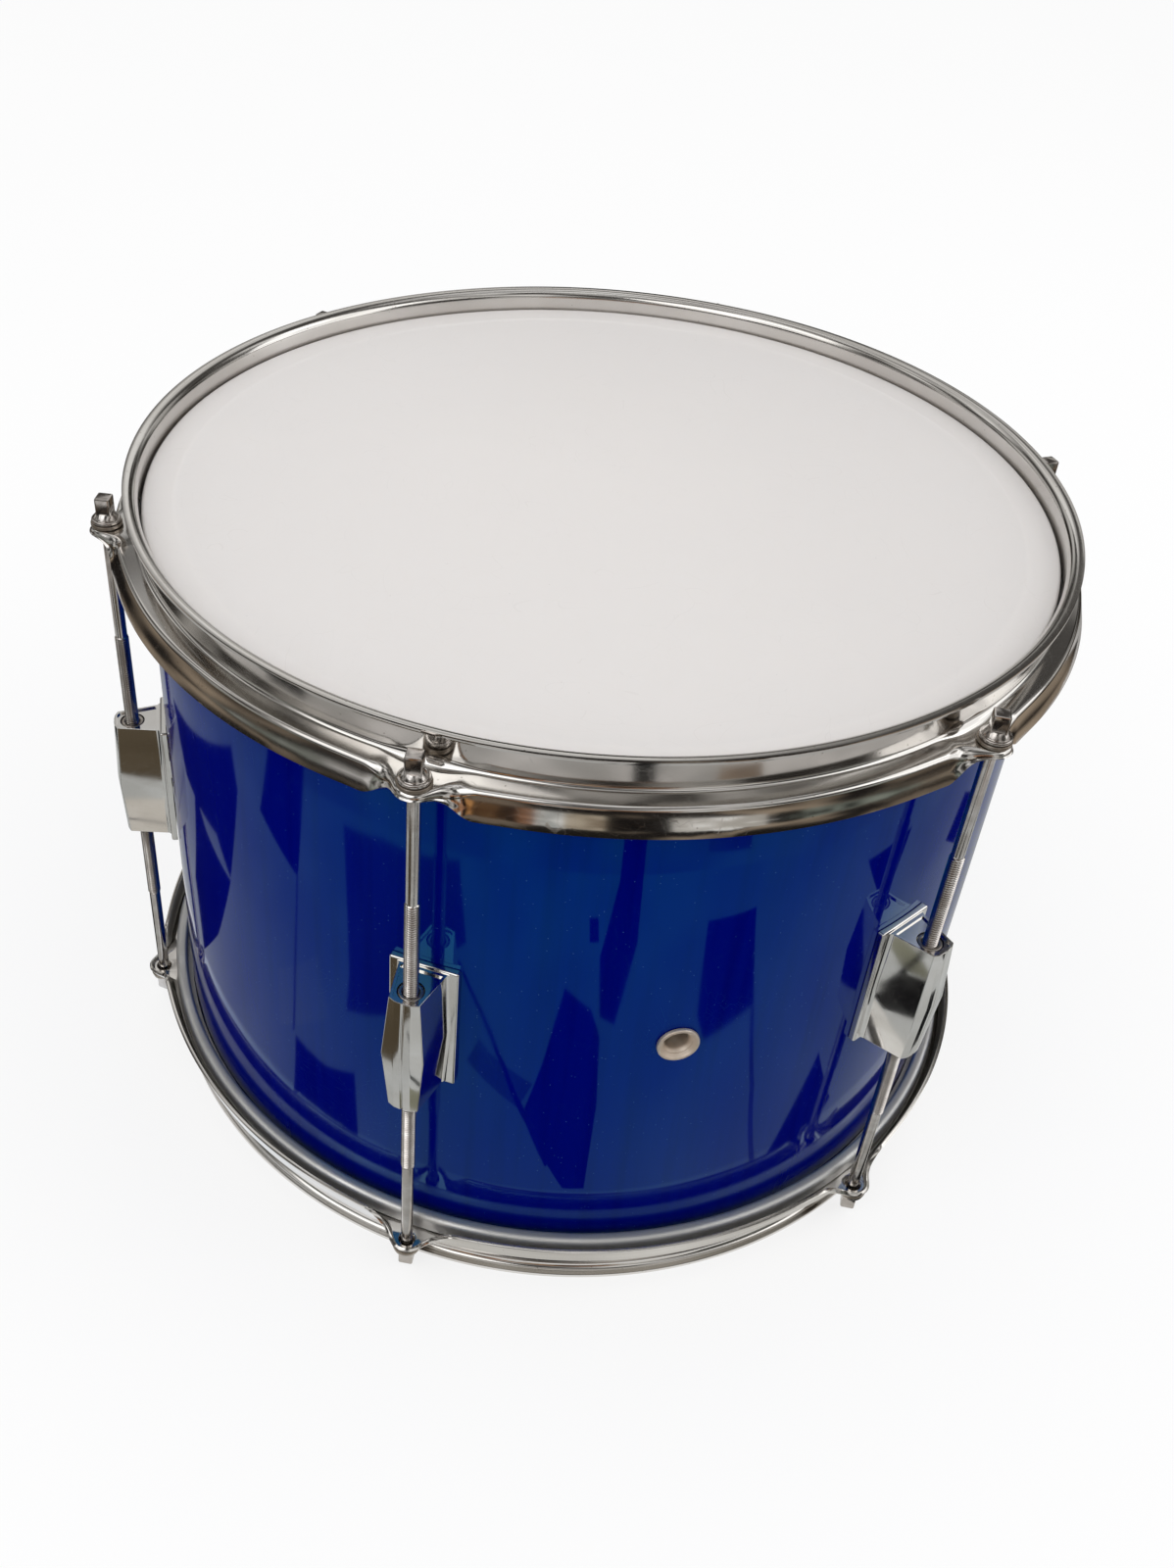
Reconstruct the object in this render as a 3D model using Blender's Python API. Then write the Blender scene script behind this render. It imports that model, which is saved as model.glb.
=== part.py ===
"""Tenor drum, 14 by 10 inch, six lugs, single-braced, with pressed steel hoops.

Metres, +Z up. The drum stands on the lip of its bottom hoop, whose centre is the origin. The top half mirrors the
bottom half about the middle of the shell, and everything repeats six times round the Z axis.
"""
import math

import bmesh
import bpy
from mathutils import Matrix, Vector

# Shell: a bent plywood cylinder, with a bearing edge at each end that the head's film turns over.
SHELL_DIAMETER = 0.3556
SHELL_LENGTH = 0.254
SHELL_WALL = 0.006
BEARING_ROUND = 0.0016
BEARING_FLAT = 0.0014
SHELL_SEGMENTS = 54

# Gaps: SEAT is left wherever one piece rests on another, FILM_GAP beside the film where it hugs the shell.
SEAT = 0.0003
FILM_GAP = 0.0002

# Hoop: one pressed sheet. From the lip inwards and down: flat lip, flare, wall, shoulder, skirt.
HOOP_SHEET = 0.0015
HOOP_CLEARANCE = 0.0012
LIP_RISE = 0.0093
LIP_FLARE = 0.0042
LIP_FLAT = 0.0013
SHOULDER_DROP = 0.0157
SHOULDER_SLOPE = 0.0008
SHOULDER_REACH = 0.009
INNER_BEND = 0.0018
OUTER_BEND = 0.002
SKIRT_DEPTH = 0.0105
SKIRT_SPREAD = 0.0026

# Ears: the shoulder is drawn out round each rod, to half its reach at EAR_HALF_WIDTH, and the skirt's edge climbs.
EAR_NOSE = 0.0062
EAR_HALF_WIDTH = 0.0076
EAR_FALL = 2.8
EAR_FLAT = 0.004
EAR_RUN = 0.0155
EAR_EDGE_DEPTH = 0.0027
EAR_SOFTNESS = 0.01
EAR_BEND = 0.0042
EAR_STATIONS = (0.1, 0.3, 0.58, 1.0)
SPAN_STEPS = 6

# Tuning gear: rods, washers and swivel nuts, all on one circle round the shell.
LUG_COUNT = 6
ROD_STANDOFF = 0.0137
ROD_DIAMETER = 0.0056
ROD_HOLE_CLEARANCE = 0.0007
SHANK_DIAMETER = 0.0048
THREAD_FROM_MIDDLE = 0.071
THREAD_RUN_OUT = 0.0012
KEY_WIDTH = 0.0058
KEY_CHAMFER = 0.0006
KEY_BELOW_LIP = 0.0038
COLLAR_DIAMETER = 0.011
COLLAR_RIM = 0.0012
COLLAR_CONE = 0.0024
WASHER_DIAMETER = 0.0118
WASHER_THICKNESS = 0.0013
ROD_PAST_NUT = 0.0025
ROD_SEGMENTS = 12

# Lug: a hollow casting with a mouth at each end, waisted at the ends and creased at mid-height.
LUG_LENGTH = 0.0566
LUG_WALL = 0.0011
LUG_END_PLATE = 0.002
LUG_RIM_WIDTH = 0.001
LUG_RIM_HEIGHT = 0.0008
LUG_FRONT_TAPER = 0.0014
LUG_BASE_TAPER = 0.0017
LUG_FRONT_BELLY = 0.0023
LUG_BASE_BELLY = 0.0012
LUG_NOSE_BELLY = 0.0013
LUG_CROWN = 0.0014
LUG_FACE_WIDTH = 0.0066
LUG_FACE_CROWN = 0.0003
LUG_GROOVE_WIDTH = 0.0012
LUG_GROOVE_DEPTH = 0.0005
LUG_WEB_LENGTH = 0.023
FOOT_WIDTH = 0.0264
FOOT_OVERHANG = 0.001
FOOT_THICKNESS = 0.0024
FOOT_EDGE = 0.0008
FOOT_FILLET = 0.0015
MOUTH_DIAMETER = 0.01
NUT_CLEARANCE = 0.0004
NUT_FLANGE_LAND = 0.0007
NUT_LENGTH = 0.012
NUT_NECK_LENGTH = 0.0022
NUT_SEGMENTS = 8

# Lug screws: from inside the shell into the web of each lug.
SCREW_DIAMETER = 0.004
SCREW_SPACING = 0.014
SCREW_HEAD_DIAMETER = 0.0084
SCREW_HEAD_HEIGHT = 0.0026
SCREW_HOLE_CLEARANCE = 0.0003
SCREW_ENGAGEMENT = 0.0055
SCREW_SEGMENTS = 6

# Heads: film and flesh hoop, bonded together.
FILM_THICKNESS = 0.0003
FLESH_HOOP_HEIGHT = 0.008
FLESH_HOOP_INSET = 0.0018
FLESH_HOOP_OUTSET = 0.0014

# Air vent: an eyelet with a dished mouth, clinched over inside the shell.
VENT_ANGLE = math.radians(-90)
VENT_FLANGE_DIAMETER = 0.017
VENT_BORE_DIAMETER = 0.0092
VENT_TUBE_WALL = 0.001
VENT_RIM_WIDTH = 0.0019
VENT_RIM_HEIGHT = 0.0016
VENT_CLINCH_DIAMETER = 0.0146
VENT_CLINCH_THICKNESS = 0.0008
VENT_SEGMENTS = 12

# Sizes that follow from the ones above.
SHELL_RADIUS = SHELL_DIAMETER / 2
DRUM_HEIGHT = SHELL_LENGTH + 2 * LIP_RISE
MIDDLE = DRUM_HEIGHT / 2
PITCH = 2 * math.pi / LUG_COUNT
FIRST_LUG = VENT_ANGLE + PITCH / 2
ROD_CIRCLE = SHELL_RADIUS + ROD_STANDOFF
ROD_RADIUS = ROD_DIAMETER / 2
WALL_INSIDE = SHELL_RADIUS + HOOP_CLEARANCE
LIP_RADIUS = WALL_INSIDE + LIP_FLARE + LIP_FLAT
SHOULDER_EDGE = WALL_INSIDE + SHOULDER_REACH
EAR_HOLE_RADIUS = ROD_RADIUS + ROD_HOLE_CLEARANCE
MOUTH_RADIUS = MOUTH_DIAMETER / 2
NUT_NECK_RADIUS = MOUTH_RADIUS - NUT_CLEARANCE
NUT_FLANGE_RADIUS = MOUTH_RADIUS + NUT_FLANGE_LAND
NUT_BORE_RADIUS = ROD_RADIUS + SEAT
LUG_HALF_LENGTH = LUG_LENGTH / 2
LUG_PLATE_INSIDE = LUG_HALF_LENGTH - LUG_RIM_HEIGHT - LUG_END_PLATE
LUG_HALF_WIDTH = NUT_FLANGE_RADIUS + NUT_CLEARANCE + LUG_WALL
LUG_DEPTH = ROD_STANDOFF + NUT_FLANGE_RADIUS + NUT_CLEARANCE + LUG_WALL + LUG_FACE_CROWN
WEB_DEPTH = ROD_STANDOFF - NUT_FLANGE_RADIUS - NUT_CLEARANCE


def material(name, colour, roughness, metallic=0.0):
    """A Principled material of one colour."""
    made = bpy.data.materials.new(name)
    made.use_nodes = True
    shader = made.node_tree.nodes["Principled BSDF"]
    shader.inputs["Base Color"].default_value = (*colour, 1.0)
    shader.inputs["Roughness"].default_value = roughness
    shader.inputs["Metallic"].default_value = metallic
    made.diffuse_color = (*colour, 1.0)
    return made


def mesh_of(name, points, faces):
    """A mesh from points and faces, with its normals turned outwards."""
    work = bmesh.new()
    corners = [work.verts.new(point) for point in points]
    for face in faces:
        work.faces.new([corners[index] for index in face])
    bmesh.ops.recalc_face_normals(work, faces=work.faces)
    mesh = bpy.data.meshes.new(name)
    work.to_mesh(mesh)
    work.free()
    return mesh


def loft(name, sections, closed):
    """A body through equal sections, each a loop of points: a ring when closed, else capped at both ends."""
    size = len(sections[0])
    points = [point for section in sections for point in section]
    faces = []
    for row in range(len(sections) if closed else len(sections) - 1):
        here = row * size
        there = (row + 1) % len(sections) * size
        for column in range(size):
            after = (column + 1) % size
            faces.append((here + column, here + after, there + after, there + column))
    if not closed:
        faces.append(tuple(range(size)))
        faces.append(tuple(range(len(points) - size, len(points))))
    return mesh_of(name, points, faces)


def turned(name, profile, segments, start=0.0, bored=False):
    """A body turned about the Z axis from (radius, z) points: a ring when bored, else closed with a disc each end."""
    sections = []
    for radius, z in profile:
        angles = [start + 2 * math.pi * step / segments for step in range(segments)]
        sections.append([(radius * math.cos(angle), radius * math.sin(angle), z) for angle in angles])
    return loft(name, sections, closed=bored)


def joined(name, meshes):
    """Several separate bodies in one mesh."""
    work = bmesh.new()
    for mesh in meshes:
        work.from_mesh(mesh)
        bpy.data.meshes.remove(mesh)
    result = bpy.data.meshes.new(name)
    work.to_mesh(result)
    work.free()
    return result


def moved(mesh, matrix):
    """The mesh, carried by a matrix."""
    mesh.transform(matrix)
    return mesh


def combined(name, mesh, steps):
    """The mesh after a run of Boolean steps, each a pair of an operation and a tool's mesh."""
    body = bpy.data.objects.new(name + "_blank", mesh)
    bpy.context.scene.collection.objects.link(body)
    tools = []
    for number, (operation, tool_mesh) in enumerate(steps):
        tool = bpy.data.objects.new(f"{name}_tool_{number}", tool_mesh)
        tool.display_type = "WIRE"
        tool.hide_render = True
        bpy.context.scene.collection.objects.link(tool)
        boolean = body.modifiers.new(f"{operation.title()} {number}", "BOOLEAN")
        boolean.operation = operation
        boolean.solver = "EXACT"
        boolean.object = tool
        tools.append(tool)
    bpy.context.view_layer.update()
    graph = bpy.context.evaluated_depsgraph_get()
    result = bpy.data.meshes.new_from_object(body.evaluated_get(graph))
    result.name = name
    for piece in [body, *tools]:
        old_mesh = piece.data
        bpy.data.objects.remove(piece)
        bpy.data.meshes.remove(old_mesh)
    return result


def place(name, mesh, finish, location=(0.0, 0.0, 0.0), turn=0.0, flipped=False, smooth=35):
    """An object at a place, turned about Z, and turned upside down first when flipped."""
    thing = bpy.data.objects.new(name, mesh)
    bpy.context.scene.collection.objects.link(thing)
    thing.location = location
    thing.rotation_euler = (math.pi if flipped else 0.0, 0.0, turn)
    if not mesh.materials:
        mesh.materials.append(finish)
    mesh.shade_smooth()
    mesh.set_sharp_from_angle(angle=math.radians(smooth))
    return thing


def lug_angle(index):
    """The direction of lug, ear and rods number index, counted from 0."""
    return FIRST_LUG + PITCH * index


def round_the_drum(radius, angle, z=0.0):
    """A point at a radius and direction from the drum's axis."""
    return (radius * math.cos(angle), radius * math.sin(angle), z)


def shell_mesh():
    """The shell: a tube with bearing edges, bored for the vent and for two screws behind each lug."""
    inside = SHELL_RADIUS - SHELL_WALL
    peak_inner = SHELL_RADIUS - BEARING_ROUND - BEARING_FLAT
    slope = peak_inner - inside
    low = LIP_RISE
    high = LIP_RISE + SHELL_LENGTH
    profile = [
        (SHELL_RADIUS, low + BEARING_ROUND),
        (SHELL_RADIUS, high - BEARING_ROUND),
        (SHELL_RADIUS - BEARING_ROUND, high),
        (peak_inner, high),
        (inside, high - slope),
        (inside, low + slope),
        (peak_inner, low),
        (SHELL_RADIUS - BEARING_ROUND, low),
    ]
    tube = turned("shell", profile, SHELL_SEGMENTS, bored=True)

    def drill(radius, angle, z, segments):
        """A drill through the wall, square to it."""
        reach = 3 * SHELL_WALL
        bit = turned("drill", [(radius, -reach), (radius, reach)], segments)
        return moved(bit, Matrix.Translation(round_the_drum(SHELL_RADIUS - SHELL_WALL / 2, angle, z))
                     @ Matrix.Rotation(angle, 4, "Z") @ Matrix.Rotation(math.pi / 2, 4, "Y"))

    vent_hole = VENT_BORE_DIAMETER / 2 + VENT_TUBE_WALL + SEAT
    drills = [drill(vent_hole, VENT_ANGLE, MIDDLE, VENT_SEGMENTS)]
    screw_hole = SCREW_DIAMETER / 2 + SCREW_HOLE_CLEARANCE
    for index in range(LUG_COUNT):
        for side in (-1, 1):
            drills.append(drill(screw_hole, lug_angle(index), MIDDLE + side * SCREW_SPACING / 2, SCREW_SEGMENTS))
    return combined("shell", tube, [("DIFFERENCE", joined("drills", drills))])


def head_mesh():
    """A head, film up, with z = 0 at the top of the film.

    The film runs flat over the bearing edge, turns down between shell and hoop, and ends in the flesh hoop, a metal
    ring under the hoop's shoulder.
    """
    film_inside = SHELL_RADIUS + FILM_GAP
    film_outside = film_inside + FILM_THICKNESS
    turn = BEARING_ROUND - SEAT
    film_top = LIP_RISE - SEAT - FILM_THICKNESS
    ring_top = film_top - (SHOULDER_DROP + HOOP_SHEET + SEAT)
    ring_inside = SHELL_RADIUS + FLESH_HOOP_INSET
    ring_outside = SHOULDER_EDGE - HOOP_SHEET - FLESH_HOOP_OUTSET - SEAT
    ring_bottom = ring_top - FLESH_HOOP_HEIGHT
    profile = [
        (film_outside - turn, 0.0),
        (film_outside, -turn),
        (film_outside, ring_top + SEAT),
        (ring_outside, ring_top),
        (ring_outside, ring_bottom),
        (ring_inside, ring_bottom),
        (film_inside, ring_top - FILM_THICKNESS),
        (film_inside, -turn - FILM_THICKNESS / 2),
        (film_inside - turn, -FILM_THICKNESS),
    ]
    return turned("head", profile, SHELL_SEGMENTS)


def ease(distance, flat, run):
    """1 within the flat, 0 beyond its run, and a smooth fall between."""
    step = min(max((abs(distance) - flat) / run, 0.0), 1.0)
    return 1.0 - step * step * (3.0 - 2.0 * step)


def arc(centre, radius, start, end, steps):
    """Points along a circle in the section's plane, angles in degrees from the outward direction."""
    angles = [math.radians(start + (end - start) * step / steps) for step in range(steps + 1)]
    return [(centre[0] + radius * math.cos(angle), centre[1] + radius * math.sin(angle)) for angle in angles]


def sheet_section(path, thickness):
    """The closed outline of a sheet of even thickness round its middle line."""
    sides = ([], [])
    for index, point in enumerate(path):
        here = Vector(point)
        before = (here - Vector(path[index - 1])).normalized() if index > 0 else None
        after = (Vector(path[index + 1]) - here).normalized() if index < len(path) - 1 else None
        before = before or after
        after = after or before
        along = (before + after).normalized()
        normal = Vector((-along.y, along.x))
        reach = thickness / 2 / along.dot(after)
        for side, sign in zip(sides, (1, -1)):
            side.append(tuple(here + normal * sign * reach))
    return sides[0] + sides[1][::-1]


def hoop_path(offset):
    """The middle line of the hoop's sheet as (radius, height below the lip), at an arc distance from an ear."""
    half = HOOP_SHEET / 2
    drawn = ease(offset, EAR_FLAT, EAR_RUN)
    reached = 1.0 / (1.0 + (abs(offset) / EAR_HALF_WIDTH) ** EAR_FALL)
    edge = SHOULDER_EDGE + (ROD_CIRCLE + EAR_NOSE - SHOULDER_EDGE) * reached
    depth = SKIRT_DEPTH + (EAR_EDGE_DEPTH - SKIRT_DEPTH) * drawn
    skirt = edge + SKIRT_SPREAD * depth / SKIRT_DEPTH
    bend = INNER_BEND + (EAR_BEND - INNER_BEND) * drawn
    inner_drop = SHOULDER_DROP - SHOULDER_SLOPE * (1.0 - drawn)
    round_off = OUTER_BEND + EAR_SOFTNESS * drawn * (1.0 - drawn)
    flare_centre = (WALL_INSIDE + LIP_FLARE, LIP_FLARE)
    bend_centre = (WALL_INSIDE + HOOP_SHEET + bend, inner_drop - bend)
    fold_centre = (edge - round_off, SHOULDER_DROP + round_off)
    return [
        (LIP_RADIUS, half),
        *arc(flare_centre, LIP_FLARE - half, -90, -180, 2),
        *arc(bend_centre, bend + half, 180, 90, 1),
        *arc(fold_centre, round_off - half, -90, 0, 1),
        (skirt - half, SHOULDER_DROP + depth),
    ]


def hoop_stations():
    """Directions at which the hoop's section is taken, over one pitch: close together on the ear, wide between."""
    reach = (EAR_FLAT + EAR_RUN) / ROD_CIRCLE
    after = [share * reach for share in EAR_STATIONS]
    on_ear = [-turn for turn in reversed(after)] + after
    span = PITCH - 2 * reach
    between = [reach + span * step / SPAN_STEPS for step in range(1, SPAN_STEPS)]
    return on_ear + between


def hoop_mesh():
    """A hoop, lip up, with z = 0 at its lip, bored for a rod at each ear."""
    sections = []
    for index in range(LUG_COUNT):
        for turn in hoop_stations():
            offset = (turn if turn <= PITCH / 2 else turn - PITCH) * ROD_CIRCLE
            outline = sheet_section(hoop_path(offset), HOOP_SHEET)
            angle = lug_angle(index) + turn
            sections.append([round_the_drum(radius, angle, -drop) for radius, drop in outline])
    ring = loft("hoop", sections, closed=True)
    middle = -SHOULDER_DROP - HOOP_SHEET / 2
    drills = []
    for index in range(LUG_COUNT):
        drill = turned("drill", [(EAR_HOLE_RADIUS, -HOOP_SHEET), (EAR_HOLE_RADIUS, HOOP_SHEET)], ROD_SEGMENTS)
        drills.append(moved(drill, Matrix.Translation(round_the_drum(ROD_CIRCLE, lug_angle(index), middle))))
    return combined("hoop", ring, [("DIFFERENCE", joined("drills", drills))])


def lug_outline(z, inset=0.0, base=None):
    """The lug's plan at height z from its middle: x sideways, y outwards from the shell.

    It narrows from the base to the front, and from mid-height to the ends. The front has a grooved face between two
    slanted ones. An inset gives the inside of the wall, which starts at the given base.
    """
    belly = 1.0 - abs(z) / LUG_HALF_LENGTH
    front = LUG_HALF_WIDTH - LUG_FRONT_TAPER + LUG_FRONT_BELLY * belly
    root = LUG_HALF_WIDTH + LUG_BASE_TAPER + LUG_BASE_BELLY * belly
    nose = LUG_DEPTH + LUG_NOSE_BELLY * belly
    corner = nose - LUG_CROWN
    face = LUG_FACE_WIDTH / 2
    face_depth = nose - LUG_FACE_CROWN
    root_depth = FOOT_THICKNESS + FOOT_FILLET
    if inset:
        slope = (root - front) / (corner - root_depth)
        base_width = root + slope * (root_depth - base) - inset
        return [(-base_width, base), (base_width, base), (front - inset, corner - inset), (face, face_depth - inset),
                (-face, face_depth - inset), (inset - front, corner - inset)]
    groove = LUG_GROOVE_WIDTH / 2
    side = [
        (root + FOOT_FILLET, FOOT_THICKNESS / 2),
        (root + FOOT_FILLET, FOOT_THICKNESS - FOOT_EDGE / 2),
        (root, root_depth),
        (front, corner),
        (face, face_depth),
        (groove, nose),
    ]
    left = [(-x, y) for x, y in reversed(side)]
    return side + [(0.0, nose - LUG_GROOVE_DEPTH)] + left


def lug_foot():
    """The foot: a plate curved to the shell, with eased edges."""
    half_width = FOOT_WIDTH / 2
    half_length = LUG_HALF_LENGTH + FOOT_OVERHANG
    seat_radius = SHELL_RADIUS + SEAT
    sections = []
    for z, ease_off in ((-half_length, FOOT_EDGE), (-half_length + FOOT_EDGE, 0.0),
                        (half_length - FOOT_EDGE, 0.0), (half_length, FOOT_EDGE)):
        width = half_width - ease_off
        thickness = FOOT_THICKNESS - ease_off
        back = [(x, math.sqrt(seat_radius ** 2 - x ** 2) - SHELL_RADIUS)
                for x in (-width, -width / 2, 0.0, width / 2, width)]
        front = [(width, thickness - FOOT_EDGE), (width - FOOT_EDGE, thickness),
                 (FOOT_EDGE - width, thickness), (-width, thickness - FOOT_EDGE)]
        sections.append([(x, y, z) for x, y in back + front])
    return loft("foot", sections, closed=False)


def lug_mesh():
    """A lug, upright, with its origin on the shell's surface at mid-height and y pointing outwards.

    The casting is hollow and open towards the shell. A web between its flanks, behind the rods, takes the screws.
    """
    def level(z, **options):
        return [(x, y, z) for x, y in lug_outline(z, **options)]

    body = loft("lug", [level(z) for z in (-LUG_HALF_LENGTH, 0.0, LUG_HALF_LENGTH)], closed=False)
    inside = {"inset": LUG_WALL, "base": WEB_DEPTH}
    front_room = loft("room", [level(z, **inside) for z in (-LUG_PLATE_INSIDE, 0.0, LUG_PLATE_INSIDE)], closed=False)
    behind = {"inset": LUG_WALL, "base": -FOOT_THICKNESS}
    pockets = []
    for side in (-1, 1):
        rooms = []
        for z in (side * LUG_WEB_LENGTH / 2, side * LUG_PLATE_INSIDE):
            back_left, back_right, front_right, _, _, front_left = level(z, **behind)
            depth = (WEB_DEPTH + FOOT_FILLET - back_right[1]) / (front_right[1] - back_right[1])
            right = Vector(back_right).lerp(Vector(front_right), depth)
            left = Vector(back_left).lerp(Vector(front_left), depth)
            rooms.append([back_left, back_right, tuple(right), tuple(left)])
        pockets.append(loft("pocket", rooms, closed=False))
    mouth = turned("mouth", [(MOUTH_RADIUS, -LUG_LENGTH), (MOUTH_RADIUS, LUG_LENGTH)], ROD_SEGMENTS)
    moved(mouth, Matrix.Translation((0.0, ROD_STANDOFF, 0.0)))
    rims = []
    for side in (-1, 1):
        floor = side * (LUG_HALF_LENGTH - LUG_RIM_HEIGHT)
        outline = lug_outline(LUG_HALF_LENGTH, inset=LUG_RIM_WIDTH, base=FOOT_THICKNESS + FOOT_FILLET)
        rims.append(loft("rim", [[(x, y, z) for x, y in outline] for z in (floor, side * LUG_LENGTH)], closed=False))
    holes = []
    for side in (-1, 1):
        radius = SCREW_DIAMETER / 2 + SCREW_HOLE_CLEARANCE
        hole = turned("hole", [(radius, -FOOT_THICKNESS), (radius, SCREW_ENGAGEMENT + SCREW_HOLE_CLEARANCE)],
                      SCREW_SEGMENTS)
        holes.append(moved(hole, Matrix.Translation((0.0, 0.0, side * SCREW_SPACING / 2))
                           @ Matrix.Rotation(-math.pi / 2, 4, "X")))
    return combined("lug", body, [
        ("UNION", lug_foot()),
        ("DIFFERENCE", front_room),
        ("DIFFERENCE", joined("pockets", pockets)),
        ("DIFFERENCE", mouth),
        ("DIFFERENCE", joined("rims", rims)),
        ("DIFFERENCE", joined("holes", holes)),
    ])


def rod_mesh(length, plain_length):
    """A tension rod, key head up, with z = 0 under its collar. A thin plain shank runs down to the thicker thread."""
    half_key = KEY_WIDTH / 2
    collar = COLLAR_DIAMETER / 2
    key_base = COLLAR_RIM + COLLAR_CONE
    key_top = SHOULDER_DROP - KEY_BELOW_LIP - WASHER_THICKNESS - 2 * SEAT
    start = math.radians(15)

    def ring(radius, z):
        angles = [start + 2 * math.pi * step / ROD_SEGMENTS for step in range(ROD_SEGMENTS)]
        return [(radius * math.cos(angle), radius * math.sin(angle), z) for angle in angles]

    def square(half, z):
        points = []
        for x, y, _ in ring(1.0, z):
            scale = half / max(abs(x), abs(y))
            points.append((x * scale, y * scale, z))
        return points

    sections = [
        ring(ROD_RADIUS, -length),
        ring(ROD_RADIUS, -plain_length - THREAD_RUN_OUT),
        ring(SHANK_DIAMETER / 2, -plain_length),
        ring(SHANK_DIAMETER / 2, 0.0),
        ring(collar, 0.0),
        ring(collar, COLLAR_RIM),
        square(half_key, key_base),
        square(half_key, key_top - KEY_CHAMFER),
        square(half_key - KEY_CHAMFER, key_top),
    ]
    return loft("rod", sections, closed=False)


def washer_mesh():
    """A washer with z = 0 at its underside."""
    outside = WASHER_DIAMETER / 2
    hole = ROD_RADIUS + ROD_HOLE_CLEARANCE
    profile = [(outside, 0.0), (outside, WASHER_THICKNESS), (hole, WASHER_THICKNESS), (hole, 0.0)]
    return turned("washer", profile, ROD_SEGMENTS, bored=True)


def nut_mesh():
    """A swivel nut, neck up, with z = 0 at the top of its flange."""
    profile = [
        (NUT_BORE_RADIUS / math.cos(math.pi / NUT_SEGMENTS), -NUT_LENGTH),
        (NUT_FLANGE_RADIUS, -NUT_LENGTH),
        (NUT_FLANGE_RADIUS, 0.0),
        (NUT_NECK_RADIUS, 0.0),
        (NUT_NECK_RADIUS, NUT_NECK_LENGTH),
        (NUT_BORE_RADIUS / math.cos(math.pi / NUT_SEGMENTS), NUT_NECK_LENGTH),
    ]
    return turned("nut", profile, NUT_SEGMENTS, bored=True)


def screw_mesh():
    """A lug screw, lying along z, with z = 0 under its head and the shank running up."""
    head = SCREW_HEAD_DIAMETER / 2
    shank = SCREW_DIAMETER / 2
    length = SHELL_WALL + 2 * SEAT + SCREW_ENGAGEMENT
    profile = [
        (head - SCREW_HEAD_HEIGHT / 3, -SCREW_HEAD_HEIGHT),
        (head, -SCREW_HEAD_HEIGHT / 3),
        (head, 0.0),
        (shank, 0.0),
        (shank, length),
    ]
    return turned("screw", profile, SCREW_SEGMENTS)


def vent_mesh():
    """The vent grommet, turned about z, with z = 0 on the shell's surface and its mouth facing up."""
    bore = VENT_BORE_DIAMETER / 2
    tube = bore + VENT_TUBE_WALL
    flange = VENT_FLANGE_DIAMETER / 2
    crest = flange - VENT_RIM_WIDTH / 2
    clinch = VENT_CLINCH_DIAMETER / 2
    inner_face = -SHELL_WALL - 2 * SEAT
    profile = [
        (flange, SEAT),
        (flange, SEAT + VENT_RIM_HEIGHT / 3),
        (crest, SEAT + VENT_RIM_HEIGHT),
        (flange - VENT_RIM_WIDTH, SEAT + VENT_RIM_HEIGHT * 2 / 3),
        (bore, SEAT),
        (bore, inner_face - VENT_CLINCH_THICKNESS),
        (clinch, inner_face - VENT_CLINCH_THICKNESS / 2),
        (clinch, inner_face),
        (tube, inner_face),
        (tube, SEAT),
    ]
    return turned("vent", profile, VENT_SEGMENTS, bored=True)


for old in list(bpy.data.objects):
    bpy.data.objects.remove(old, do_unlink=True)

blue_lacquer = material("Blue lacquer", (0.0, 0.02, 0.16), 0.06)
white_film = material("White film", (0.75, 0.73, 0.70), 0.35)
chrome = material("Chrome", (0.75, 0.74, 0.72), 0.08, 1.0)
zinc = material("Zinc plate", (0.60, 0.60, 0.58), 0.3, 1.0)
pale_metal = material("Pale metal", (0.78, 0.74, 0.66), 0.3, 1.0)

place("shell", shell_mesh(), blue_lacquer)

head = head_mesh()
head_drop = LIP_RISE - SEAT - FILM_THICKNESS
place("top_head", head, white_film, (0.0, 0.0, DRUM_HEIGHT - head_drop))
place("bottom_head", head, white_film, (0.0, 0.0, head_drop), flipped=True)

hoop = hoop_mesh()
place("top_hoop", hoop, chrome, (0.0, 0.0, DRUM_HEIGHT))
place("bottom_hoop", hoop, chrome, flipped=True)

lug = lug_mesh()
nut = nut_mesh()
screw = screw_mesh()
washer = washer_mesh()
seat_height = DRUM_HEIGHT - SHOULDER_DROP
washer_height = seat_height + SEAT
rod_height = washer_height + WASHER_THICKNESS + SEAT
nut_height = MIDDLE + LUG_PLATE_INSIDE - SEAT
rod_end = nut_height - NUT_LENGTH - ROD_PAST_NUT
rod = rod_mesh(rod_height - rod_end, rod_height - MIDDLE - THREAD_FROM_MIDDLE)

for index in range(LUG_COUNT):
    number = index + 1
    angle = lug_angle(index)
    on_rods = round_the_drum(ROD_CIRCLE, angle)
    place(f"lug_{number}", lug, chrome, round_the_drum(SHELL_RADIUS, angle, MIDDLE), angle - math.pi / 2)
    for end, flipped in (("top", False), ("bottom", True)):
        def height(z):
            """The height itself in the top half, and its mirror image in the bottom half."""
            return (on_rods[0], on_rods[1], DRUM_HEIGHT - z if flipped else z)

        place(f"{end}_rod_{number}", rod, chrome, height(rod_height), angle, flipped)
        place(f"{end}_washer_{number}", washer, chrome, height(washer_height), angle, flipped)
        place(f"{end}_nut_{number}", nut, zinc, height(nut_height), angle, flipped)
        side = -1 if flipped else 1
        head_face = SHELL_RADIUS - SHELL_WALL - 2 * SEAT
        fastener = place(f"{end}_lug_screw_{number}", screw, zinc,
                         round_the_drum(head_face, angle, MIDDLE + side * SCREW_SPACING / 2))
        fastener.rotation_euler = (0.0, math.pi / 2, angle)

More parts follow.
